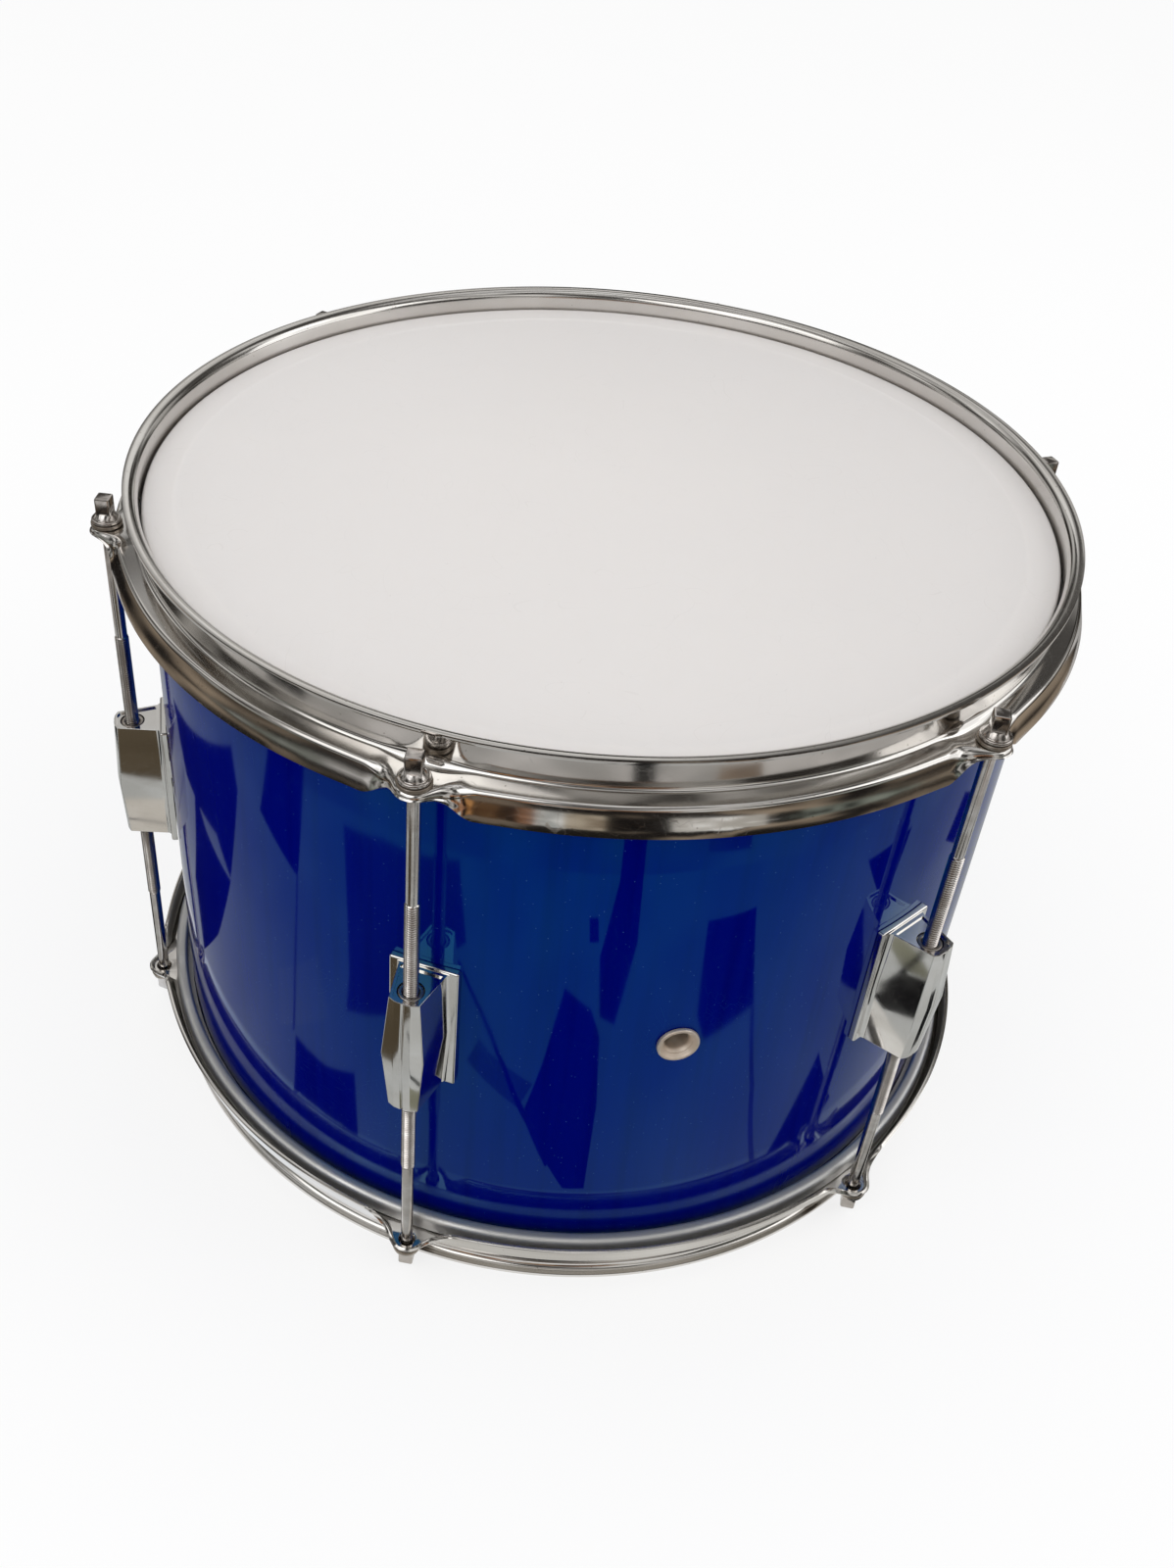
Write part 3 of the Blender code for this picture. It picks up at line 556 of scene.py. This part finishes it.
# Heads: coated white film, bonded at its rim into a flesh hoop of bent aluminium channel. The film lies flat over
# the bearing edge, with a faint collar, and turns down between shell and hoop.
film_gap = 0.0002
film_thickness = 0.0003
film_inside = shell_radius + film_gap
film_outside = film_inside + film_thickness
film_turn = bearing_round - seat
film_top = lip_rise - seat - film_thickness
collar_radius = 0.1665
collar_swell = 0.00012
hoop_sheet = 0.0015
hoop_clearance = 0.0012
shoulder_drop = 0.0157
shoulder_reach = 0.009
wall_inside = shell_radius + hoop_clearance
shoulder_edge = wall_inside + shoulder_reach
ring_top = film_top - (shoulder_drop + hoop_sheet + seat)
ring_bottom = ring_top - 0.008
ring_inside = shell_radius + 0.0023
ring_outside = shoulder_edge - hoop_sheet - 0.0009 - seat

film, tree, shader = principled("coated film", (0.775, 0.735, 0.71), Roughness=0.34, Subsurface_Weight=0.3,
                                Subsurface_Radius=(0.0012, 0.0011, 0.001), Subsurface_Scale=1.0)
clouds = use(tree, smudges, Scale=7.0, Cover=0.5)["Mask"]
marks = use(tree, scratches, Scale=26.0, Width=0.006, Cover=0.3)["Mask"]
grains = use(tree, specks, Scale=1400.0, Size=0.3, Cover=0.3)["Mask"]
dust = use(tree, specks, Scale=260.0, Size=0.05, Cover=0.06)["Mask"]
coat = blend(tree, clouds, (0.795, 0.752, 0.725), (0.775, 0.735, 0.712))
coat = blend(tree, spread(tree, marks, 0.0, 0.16), coat, (0.62, 0.58, 0.55))
tree.links.new(blend(tree, spread(tree, dust, 0.0, 0.5), coat, (0.45, 0.42, 0.40)), shader.inputs["Base Color"])
polish = spread(tree, clouds, 0.26, 0.36)
worn = add(tree, "Math", {0: marks, 1: 0.08, 2: polish}, operation="MULTIPLY_ADD").outputs[0]
tree.links.new(worn, shader.inputs["Roughness"])
tree.links.new(add(tree, "Bump", {"Height": grains, "Distance": 0.000012, "Strength": 0.5}).outputs[0],
               shader.inputs["Normal"])

aluminium, tree, shader = principled("flesh hoop aluminium", (0.80, 0.80, 0.79), Roughness=0.25, Metallic=1.0)
wiped = use(tree, smudges, Scale=30.0, Stretch=(1.0, 1.0, 4.0), Cover=0.5)["Mask"]
hairs = use(tree, scratches, Scale=150.0, Width=0.01, Cover=0.4)["Mask"]
tree.links.new(blend(tree, wiped, (0.86, 0.86, 0.86), (0.72, 0.72, 0.71)), shader.inputs["Base Color"])
worn = add(tree, "Math", {0: hairs, 1: 0.1, 2: spread(tree, wiped, 0.4, 0.55)}, operation="MULTIPLY_ADD").outputs[0]
tree.links.new(worn, shader.inputs["Roughness"])

for end in ("top", "bottom"):
    if end == "top":
        stand = Matrix.Translation((0.0, 0.0, drum_height - film_top))
    else:
        stand = Matrix.Translation((0.0, 0.0, film_top)) @ turned_over
    skin = turned([
        (0.0, 0.0), (collar_radius - 0.004, 0.0), (collar_radius - 0.0012, 0.0), (collar_radius, collar_swell),
        (collar_radius + 0.0012, collar_swell * 0.4), (film_outside - film_turn * 2, 0.0),
        (film_outside, 0.0), (film_outside, ring_top - 0.0008), (ring_inside + 0.0002, ring_top - 0.0012),
        (ring_inside + 0.0002, ring_top - 0.003), (ring_inside - 0.0001, ring_top - 0.003),
        (ring_inside - 0.0001, ring_top - 0.0014), (film_inside, ring_top - 0.001), (film_inside, -film_thickness),
        (collar_radius, collar_swell - film_thickness), (0.0, -film_thickness),
    ], 288, rounds=[((6,), film_turn, 6), ((13,), film_turn - film_thickness, 5), ((3,), 0.0008, 3)], ring=False)
    finished(f"{end}_film", placed(skin, stand), [film], "shell", [f"{end}_head"])
    channel = turned([
        (ring_inside, ring_bottom), (ring_inside, ring_top - 0.0004), (ring_inside + 0.0006, ring_top),
        (ring_outside, ring_top), (ring_outside, ring_bottom),
    ], 288, rounds=[((0,), 0.0014, 4), ((4,), 0.0022, 6), ((3,), 0.0009, 5), ((1, 2), 0.0003, 2)])
    finished(f"{end}_flesh_hoop", placed(channel, stand), [aluminium], "shell")


# Hoops: rims pressed from one sheet of steel and chromed. From the lip down they have a turned-out lip, an upright
# wall, a shoulder and a turned-down skirt, and at each rod the shoulder is drawn out into an ear with a hole.
lip_flare = 0.0042
lip_flat = 0.0013
lip_radius = wall_inside + lip_flare + lip_flat
shoulder_slope = 0.0008
inner_bend = 0.0018
outer_bend = 0.002
skirt_depth = 0.0105
skirt_spread = 0.0026
ear_nose = 0.0062
ear_half_width = 0.0076
ear_fall = 2.8
ear_flat = 0.004
ear_run = 0.0155
ear_edge_depth = 0.0027
ear_softness = 0.01
ear_bend = 0.0042
ear_hole = 0.0035
ear_steps = 44
span_steps = 52


def ease(distance, flat, run):
    """1 within the flat, 0 beyond its run, and a smooth fall between."""
    step = min(max((abs(distance) - flat) / run, 0.0), 1.0)
    return 1.0 - step * step * (3.0 - 2.0 * step)


def arc(centre, radius, start, end, steps):
    """Points on a circle in the hoop's section, with angles in degrees from the outward direction."""
    angles = [math.radians(start + (end - start) * step / steps) for step in range(steps + 1)]
    return [(centre[0] + radius * math.cos(angle), centre[1] + radius * math.sin(angle)) for angle in angles]


def hoop_path(offset):
    """The middle of the hoop's sheet as (radius, depth below the lip), at an arc distance from an ear's middle."""
    half = hoop_sheet / 2
    drawn = ease(offset, ear_flat, ear_run)
    reached = 1.0 / (1.0 + (abs(offset) / ear_half_width) ** ear_fall)
    brim = shoulder_edge + (rod_circle + ear_nose - shoulder_edge) * reached
    depth = skirt_depth + (ear_edge_depth - skirt_depth) * drawn
    skirt = brim + skirt_spread * depth / skirt_depth
    bend = inner_bend + (ear_bend - inner_bend) * drawn
    inner_drop = shoulder_drop - shoulder_slope * (1.0 - drawn)
    wall = arc((wall_inside + lip_flare, lip_flare), lip_flare - half, -90, -180, 10)
    shoulder = arc((wall_inside + hoop_sheet + bend, inner_drop - bend), bend + half, 180, 90, 8)
    round_off = outer_bend + ear_softness * drawn * (1.0 - drawn)
    fold = arc((brim - round_off, shoulder_drop + round_off), round_off - half, -90, 0, 8)
    rest = (skirt - half, shoulder_drop + depth)
    halfway = ((fold[-1][0] + rest[0]) / 2, (fold[-1][1] + rest[1]) / 2)
    return [(lip_radius, half), *wall, *shoulder, *fold, halfway, rest]


def pressed_hoop():
    """One hoop, lip up, with z = 0 at its lip."""
    work = bmesh.new()
    station = work.verts.layers.int.new("station")
    reach = (ear_flat + ear_run) / rod_circle
    corners = []
    for number, (radius, drop) in enumerate(hoop_path(ear_run * 2)):
        start = first_lug - reach
        corners.append(work.verts.new((radius * math.cos(start), radius * math.sin(start), -drop)))
        corners[-1][station] = number
    front = corners + [work.edges.new(pair) for pair in zip(corners, corners[1:])]
    for index in range(lug_count):
        for angle, steps in ((2 * reach, ear_steps), (pitch - 2 * reach, span_steps)):
            swept = bmesh.ops.spin(work, geom=front, cent=(0, 0, 0), axis=(0, 0, 1), angle=angle, steps=steps)
            front = swept["geom_last"]
    bmesh.ops.remove_doubles(work, verts=work.verts, dist=1e-5)
    paths = {}
    for corner in work.verts:
        angle = math.atan2(corner.co.y, corner.co.x)
        offset = round(((angle - first_lug + pitch / 2) % pitch - pitch / 2) * rod_circle, 7)
        if offset not in paths:
            paths[offset] = hoop_path(offset)
        radius, drop = paths[offset][corner[station]]
        corner.co = (radius * math.cos(angle), radius * math.sin(angle), -drop)
    bmesh.ops.recalc_face_normals(work, faces=work.faces)
    punches = []
    for index in range(lug_count):
        punch = turned([(0.0, -0.003), (ear_hole, -0.003), (ear_hole, 0.003), (0.0, 0.003)], 40, ring=False)
        punches.append(placed(punch, on_lug(index, "top", -shoulder_drop)))
    work = worked(work, [("SOLIDIFY", hoop_sheet), ("DIFFERENCE", together(punches))])
    rims = [edge for edge in work.edges if edge.calc_face_angle(0.0) > math.radians(60)]
    bmesh.ops.bevel(work, geom=rims, offset=0.00055, affect="EDGES", segments=3, profile=0.5, material=-1,
                    clamp_overlap=True)
    return work


hoop_chrome = plated("hoop chrome", (0.76, 0.745, 0.725), (0.62, 0.595, 0.565), (0.05, 0.14), 14.0, 0.00005)
hoop = pressed_hoop()
finished("pressed_hoop_top", placed(hoop.copy(), Matrix.Translation((0.0, 0.0, drum_height))), [hoop_chrome],
         "top_hoop", ["top_hoop"])
finished("pressed_hoop_bottom", placed(hoop, turned_over), [hoop_chrome],
         "bottom_hoop", ["bottom_hoop"])


# Washers: stamped steel rings, one under each rod's collar, plated and dulled by the collar's turning.
washer_radius = 0.0059
washer_thickness = 0.0013
seat_height = drum_height - shoulder_drop

washer_steel, tree, shader = principled("washer plate", (0.62, 0.58, 0.53), Roughness=0.28, Metallic=1.0)
dull = use(tree, smudges, Scale=330.0, Cover=0.55)["Mask"]
tree.links.new(blend(tree, dull, (0.66, 0.62, 0.57), (0.34, 0.29, 0.24)), shader.inputs["Base Color"])
tree.links.new(spread(tree, dull, 0.18, 0.45), shader.inputs["Roughness"])

washer = turned([(washer_radius, 0.0), (washer_radius, washer_thickness), (ear_hole, washer_thickness),
                 (ear_hole, 0.0)], 40, rounds=[((0, 1, 2, 3), 0.00025, 3)])
for index in range(lug_count):
    for end in ("top", "bottom"):
        finished(f"rod_washer_{end}_{index + 1}", placed(washer.copy(), on_lug(index, end, seat_height + seat)),
                 [washer_steel], f"{end}_hoop", [f"{end}_washer_{index + 1}"])


# Tension rods: cold-headed steel with a square key head, a coned collar and a rolled thread that runs out 43 mm
# outside the lug, all chromed. Each pulls its hoop's ear towards the swivel nut.
shank_radius = 0.0024
thread_radius = 0.0028
thread_root = 0.0022
thread_pitch = 0.00106
thread_turn_steps = 18
thread_end = middle + 0.071
key_half = 0.0029
key_chamfer = 0.0006
collar_edge = 0.0055
collar_rim = 0.0012
collar_cone = 0.0024
key_below_lip = 0.0038
rod_height = seat_height + seat + washer_thickness + seat
rod_end = middle + plate_inside - seat - nut_length - 0.0025


def tension_rod():
    """One rod, key head up, with z = 0 under its collar."""
    tip = rod_end - rod_height
    run_out = thread_end - rod_height
    key_base = collar_rim + collar_cone
    key_top = shoulder_drop - key_below_lip - washer_thickness - 2 * seat
    blank = turned([
        (0.0, tip), (thread_root - 0.0006, tip), (thread_root, tip + 0.0008), (thread_root, run_out - 0.0012),
        (shank_radius, run_out), (shank_radius, 0.0), (collar_edge, 0.0), (collar_edge, collar_rim),
        (collar_edge - 0.0009, collar_rim + 0.0001), (collar_edge - 0.0011, collar_rim + 0.00035),
        (collar_edge - 0.0007, collar_rim + 0.00045), (key_half + 0.0004, key_base), (0.0, key_base),
    ], 36, rounds=[((6, 7), 0.0003, 3), ((10,), 0.00015, 2)], ring=False)
    key = bmesh.new()
    bmesh.ops.create_cube(key, size=2 * key_half)
    bmesh.ops.bevel(key, geom=[edge for edge in key.edges if abs((edge.verts[0].co - edge.verts[1].co).z) > key_half],
                    offset=0.0007, affect="EDGES", segments=4, profile=0.5, material=-1)
    stretch = (key_top - collar_rim) / (2 * key_half)
    bmesh.ops.scale(key, vec=(1.0, 1.0, stretch), verts=key.verts)
    bmesh.ops.translate(key, vec=(0.0, 0.0, (key_top + collar_rim) / 2), verts=key.verts)
    crown = [edge for edge in key.edges if min(vert.co.z for vert in edge.verts) > key_top - 1e-6]
    bmesh.ops.bevel(key, geom=crown, offset=key_chamfer, affect="EDGES", segments=2, profile=0.5, material=-1)
    thread = bmesh.new()
    turns = round((run_out - tip - thread_pitch) / thread_pitch)
    tooth = [(thread_root - 0.0001, 0.0), (thread_root, 0.12), (thread_radius, 0.42), (thread_radius, 0.58),
             (thread_root, 0.88), (thread_root - 0.0001, 1.0)]
    corners = [thread.verts.new((radius, 0.0, tip + share * thread_pitch)) for radius, share in tooth]
    profile = corners + [thread.edges.new(pair) for pair in zip(corners, corners[1:])]
    bmesh.ops.spin(thread, geom=profile, cent=(0, 0, 0), axis=(0, 0, 1), angle=2 * math.pi * turns,
                   steps=thread_turn_steps * turns, dvec=(0.0, 0.0, thread_pitch / thread_turn_steps))
    bmesh.ops.remove_doubles(thread, verts=thread.verts, dist=1e-6)
    for corner in thread.verts:
        radius = math.hypot(corner.co.x, corner.co.y)
        left = min(corner.co.z - tip, run_out - corner.co.z) / (1.5 * thread_pitch)
        cut = 0.0001 + (radius - thread_root + 0.0001) * min(max(left, 0.0), 1.0)
        corner.co.xy *= (thread_root - 0.0002 + cut) / radius
    bmesh.ops.recalc_face_normals(thread, faces=thread.faces)
    return together([worked(blank, [("UNION", key)]), thread])


rod_chrome = plated("rod chrome", (0.70, 0.675, 0.655), (0.50, 0.46, 0.43), (0.07, 0.17), 90.0, 0.00001)
plain_rod = tension_rod()
key_turns = {"top": (38, 8, 61, 20, 73, 12), "bottom": (52, 27, 5, 66, 33, 80)}
for index in range(lug_count):
    for end in ("top", "bottom"):
        turn = Matrix.Rotation(math.radians(key_turns[end][index]), 4, "Z")
        rod = placed(plain_rod.copy(), on_lug(index, end, rod_height) @ turn)
        finished(f"tension_rod_{end}_{index + 1}", rod, [rod_chrome], f"{end}_rod_{index + 1}",
                 [f"{end}_rod_{index + 1}"])


# Camera: it stands in front of the vent, a little to its left, and looks down on the playing head.
camera_distance = 0.5451
camera_azimuth = math.radians(254.5)
camera_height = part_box("top_hoop")[1].z + 0.2838
heading = math.radians(77.394)
tilt = math.radians(39.145)
roll = math.radians(3.903)
forward = Vector((math.cos(heading) * math.cos(tilt), math.sin(heading) * math.cos(tilt), -math.sin(tilt)))
level_right = forward.cross(Vector((0.0, 0.0, 1.0))).normalized()
level_up = level_right.cross(forward)
camera_right = level_right * math.cos(roll) + level_up * math.sin(roll)
camera_up = level_up * math.cos(roll) - level_right * math.sin(roll)
camera_data = bpy.data.cameras.new("camera")
camera_data.sensor_width = 36.0
camera_data.lens = 35.115
camera_data.shift_x = 0.0480
camera_data.shift_y = -0.0045
camera_data.clip_start = 0.01
camera = bpy.data.objects.new("camera", camera_data)
camera.matrix_world = Matrix.Translation((
    camera_distance * math.cos(camera_azimuth),
    camera_distance * math.sin(camera_azimuth),
    camera_height,
)) @ Matrix((camera_right, camera_up, -forward)).transposed().to_4x4()
bpy.context.scene.collection.objects.link(camera)
bpy.context.scene.camera = camera


# Floor: a wide pale floor, matt, on which the drum stands. The camera sees it near white, with the drum's shadow
# left in it.
floor_glow = 0.74
paint, tree, shader = principled("pale floor", (0.93, 0.93, 0.93), Roughness=1.0, Specular_IOR_Level=0.0)
cast = use(tree, smudges, Scale=3.0, Cover=0.5)["Mask"]
tree.links.new(blend(tree, cast, (0.935, 0.935, 0.935), (0.925, 0.925, 0.93)), shader.inputs["Base Color"])


def plain_view(tree):
    """1 for the rays that should see a plain white studio: straight from the camera, mirrored or through glass."""
    seen = add(tree, "LightPath", {})
    either = add(tree, "Math", {0: seen.outputs["Is Camera Ray"], 1: seen.outputs["Is Glossy Ray"]},
                 operation="MAXIMUM").outputs[0]
    return add(tree, "Math", {0: either, 1: seen.outputs["Is Transmission Ray"]}, operation="MAXIMUM").outputs[0]


share = add(tree, "Math", {0: plain_view(tree), 1: floor_glow}, operation="MULTIPLY").outputs[0]
white = add(tree, "Emission", {"Color": (1.0, 1.0, 1.0, 1.0), "Strength": 1.0}).outputs[0]
mixed = add(tree, "MixShader", {0: share, 1: shader.outputs[0], 2: white})
tree.links.new(mixed.outputs[0], tree.nodes["Material Output"].inputs["Surface"])
work = bmesh.new()
bmesh.ops.create_grid(work, x_segments=1, y_segments=1, size=3.0)
floor_mesh = bpy.data.meshes.new("floor")
work.to_mesh(floor_mesh)
work.free()
floor_mesh.materials.append(paint)
floor = bpy.data.objects.new("floor", floor_mesh)
bpy.context.scene.collection.objects.link(floor)


# Flags: cards that only reflections see, set round the drum as for any photograph of chrome and gloss. A ring on the
# floor, darker shapes lying on it, and walls, each mottled softly between a dark and a light shade.
def ring_card(first, last, start=0, sweep=360):
    """A card swept round the drum between two (radius, height) points, from a direction and through an angle."""
    work = bmesh.new()
    begin = math.radians(start)
    ends = [work.verts.new((radius * math.cos(begin), radius * math.sin(begin), height))
            for radius, height in (first, last)]
    bmesh.ops.spin(work, geom=ends + [work.edges.new(ends)], cent=(0, 0, 0), axis=(0, 0, 1),
                   angle=math.radians(sweep), steps=max(2, round(abs(sweep) / 6)))
    return work


def floor_card(corners, height=0.003):
    """A flat card on the floor, from its corners."""
    work = bmesh.new()
    work.faces.new([work.verts.new((x, y, height)) for x, y in corners])
    return work


def flag(name, work, dark, light, scale=3.0, low=0.4, high=0.6):
    """A card of some shape, whose shade runs from dark to light with a cloudy noise between low and high."""
    card_paint = bpy.data.materials.new(name)
    card_paint.use_nodes = True
    tree = card_paint.node_tree
    tree.nodes.clear()
    place = add(tree, "TexCoord", {}).outputs["Object"]
    cloud = add(tree, "TexNoise", {"Vector": place, "Scale": scale, "Detail": 1.5}).outputs[0]
    share = add(tree, "MapRange", {"Value": cloud, "From Min": low, "From Max": high}).outputs["Result"]
    glow = add(tree, "Emission", {"Color": blend(tree, share, dark, light), "Strength": 1.0})
    add(tree, "OutputMaterial", {"Surface": glow.outputs[0]})
    mesh = bpy.data.meshes.new(name)
    work.to_mesh(mesh)
    work.free()
    mesh.materials.append(card_paint)
    card = bpy.data.objects.new(name, mesh)
    card.visible_camera = False
    card.visible_diffuse = False
    card.visible_shadow = False
    card.visible_transmission = False
    bpy.context.scene.collection.objects.link(card)


flag("hoop ground", ring_card((0.187, 0.002), (0.206, 0.002)), (0.60, 0.59, 0.56), (0.78, 0.77, 0.74), 9.0)
flag("left hoop ground", ring_card((0.187, 0.003), (0.204, 0.003), 150, 84), (0.86, 0.90, 0.95), (0.98, 0.98, 0.98), 9.0)
flag("pale ground", ring_card((0.2, 0.001), (0.48, 0.001)), (0.44, 0.45, 0.44), (0.54, 0.55, 0.54), 9.0)
flag("wall ground", ring_card((0.46, 0.0015), (0.6, 0.0015)), (0.36, 0.35, 0.335), (0.56, 0.54, 0.52), 6.0)
flag("far ground", ring_card((0.58, 0.002), (1.9, 0.002)), (0.012, 0.010, 0.009), (0.34, 0.27, 0.20), 2.6, 0.48, 0.66)
flag("low walls", ring_card((1.9, 0.0), (1.9, 1.2)), (0.03, 0.027, 0.024), (0.55, 0.54, 0.52), 1.6, 0.42, 0.62)
flag("high walls", ring_card((1.9, 1.2), (1.3, 2.7)), (0.07, 0.066, 0.062), (0.85, 0.84, 0.82), 1.3, 0.40, 0.62)
flag("ceiling", ring_card((1.3, 2.7), (0.02, 2.7)), (0.25, 0.245, 0.24), (0.95, 0.95, 0.94), 1.8, 0.42, 0.62)
low_cards = (
    ("orange", 238, 5, (0.30, 0.12, 0.03), (0.80, 0.42, 0.16)),
    ("slot", 243, 3.4, (0.004, 0.004, 0.004), (0.012, 0.011, 0.01)),
    ("brown", 246.4, 2.8, (0.16, 0.07, 0.035), (0.30, 0.15, 0.08)),
    ("white", 249.2, 5, (0.40, 0.42, 0.41), (0.75, 0.76, 0.74)),
    ("beige", 254.2, 7.4, (0.22, 0.17, 0.12), (0.46, 0.40, 0.31)),
    ("black", 261.6, 12.4, (0.004, 0.004, 0.004), (0.012, 0.011, 0.01)),
    ("bright", 274, 18, (0.45, 0.43, 0.39), (0.80, 0.79, 0.76)),
    ("mottled", 294, 30, (0.004, 0.005, 0.005), (0.26, 0.29, 0.25)),
    ("grey", 176, 29, (0.14, 0.15, 0.13), (0.38, 0.40, 0.37)),
    ("pale", 205, 33, (0.26, 0.25, 0.24), (0.85, 0.85, 0.84)),
)
for shade, start, sweep, dark, light in low_cards:
    flag(f"{shade} low card", ring_card((1.2, 0.0), (1.2, 0.21), start, sweep), dark, light, 9.0)
flag("brown band", ring_card((1.25, 0.2), (1.25, 0.42), 242, 34), (0.12, 0.055, 0.03), (0.42, 0.22, 0.12), 5.0)
dark_shapes = (
    ((-0.50, -0.065), (-0.49, -0.155), (-0.33, -0.115), (-0.385, -0.045)),
    ((-0.032, -0.45), (-0.04, -0.58), (0.004, -0.58), (0.002, -0.382), (-0.016, -0.307), (-0.032, -0.312),
     (-0.043, -0.365)),
    ((-0.066, -0.402), (-0.054, -0.404), (-0.047, -0.379), (-0.059, -0.377)),
    ((-0.075, -0.329), (-0.042, -0.317), (-0.029, -0.298), (-0.024, -0.253), (-0.026, -0.205), (-0.038, -0.203),
     (-0.077, -0.232)),
    ((0.095, -0.387), (0.162, -0.37), (0.126, -0.279), (0.07, -0.282), (0.067, -0.30)),
    ((-0.207, -0.105), (-0.187, -0.131), (-0.178, -0.153), (-0.141, -0.144), (-0.17, -0.105)),
    ((0.154, -0.194), (0.133, -0.164), (0.095, -0.173), (0.073, -0.184), (0.108, -0.189)),
    ((-0.318, 0.207), (-0.432, 0.029), (-0.387, 0.004), (-0.29, -0.001), (-0.31, 0.038), (-0.295, 0.126)),
    ((0.313, -0.264), (0.371, -0.202), (0.281, -0.196)),
    ((0.40, -0.071), (0.392, -0.044), (0.337, -0.065), (0.348, -0.094)),
    ((0.242, -0.206), (0.262, -0.182), (0.215, -0.168), (0.188, -0.185), (0.218, -0.214)),
    ((-0.309, 0.103), (-0.295, 0.058), (-0.288, -0.002), (-0.235, 0.0), (-0.206, 0.011), (-0.235, 0.057)),
)
for number, corners in enumerate(dark_shapes):
    flag(f"dark shape {number}", floor_card(corners), (0.003, 0.003, 0.003), (0.01, 0.01, 0.011))
flag("brown shape", floor_card((
    (-0.383, -0.21), (-0.35, -0.271), (-0.262, -0.365), (-0.195, -0.305), (-0.215, -0.25), (-0.201, -0.202),
    (-0.221, -0.159), (-0.242, -0.168),
)), (0.065, 0.05, 0.030), (0.09, 0.07, 0.045), 9.0)
flag("olive shape", floor_card(((-0.135, -0.256), (-0.135, -0.238), (-0.082, -0.235), (-0.078, -0.254)), 0.0025),
     (0.16, 0.16, 0.12), (0.22, 0.22, 0.16), 9.0)
flag("cable", floor_card((
    (-0.19, -0.283), (-0.164, -0.2745), (-0.127, -0.2625), (-0.106, -0.2515), (-0.089, -0.2385),
    (-0.071, -0.227), (-0.051, -0.21), (-0.0485, -0.213), (-0.0685, -0.2305), (-0.087, -0.242),
    (-0.1045, -0.255), (-0.1265, -0.266), (-0.164, -0.278), (-0.19, -0.2865),
), 0.004), (0.004, 0.004, 0.004), (0.01, 0.01, 0.01))
flag("left joint", floor_card((
    (-0.331, -0.1125), (-0.276, -0.1055), (-0.209, -0.1025), (-0.209, -0.1045), (-0.276, -0.1085), (-0.331, -0.1155),
), 0.004), (0.12, 0.12, 0.12), (0.15, 0.15, 0.15))
flag("right joint", floor_card((
    (0.125, -0.2765), (0.1, -0.2255), (0.074, -0.1885), (0.0705, -0.1895), (0.096, -0.2265), (0.121, -0.2775),
), 0.004), (0.12, 0.12, 0.12), (0.15, 0.15, 0.15))
flag("tan shape", floor_card(((0.105, -0.47), (0.175, -0.445), (0.21, -0.53), (0.125, -0.565))),
     (0.16, 0.12, 0.09), (0.28, 0.22, 0.17), 9.0)
flag("left pale shape", floor_card(((-0.262, -0.135), (-0.252, -0.085), (-0.212, -0.09), (-0.218, -0.14))),
     (0.55, 0.52, 0.47), (0.62, 0.59, 0.54), 9.0)


# Light: a white studio whose plain level lights the drum, with two soft boxes for shape.
world = bpy.data.worlds.new("studio")
bpy.context.scene.world = world
world.use_nodes = True
tree = world.node_tree
plain = tree.nodes["Background"]
plain.inputs["Color"].default_value = (1.0, 1.0, 1.0, 1.0)
plain.inputs["Strength"].default_value = 0.9
white = add(tree, "Background", {"Color": (1.0, 1.0, 1.0, 1.0), "Strength": 1.0})
mixed = add(tree, "MixShader", {0: plain_view(tree), 1: plain.outputs[0], 2: white.outputs[0]})
tree.links.new(mixed.outputs[0], tree.nodes["World Output"].inputs["Surface"])


def soft_box(name, spot, size, power):
    """A square area lamp that faces the drum."""
    lamp_data = bpy.data.lights.new(name, "AREA")
    lamp_data.size = size
    lamp_data.energy = power
    lamp = bpy.data.objects.new(name, lamp_data)
    lamp.location = spot
    lamp.rotation_euler = (Vector((0.0, 0.0, middle)) - Vector(spot)).to_track_quat("-Z", "Y").to_euler()
    bpy.context.scene.collection.objects.link(lamp)


soft_box("left soft box", (-1.2, -0.9, 1.3), 1.6, 8.0)
soft_box("right soft box", (1.4, -0.4, 1.0), 1.3, 6.0)
bpy.context.scene.view_settings.view_transform = "Standard"
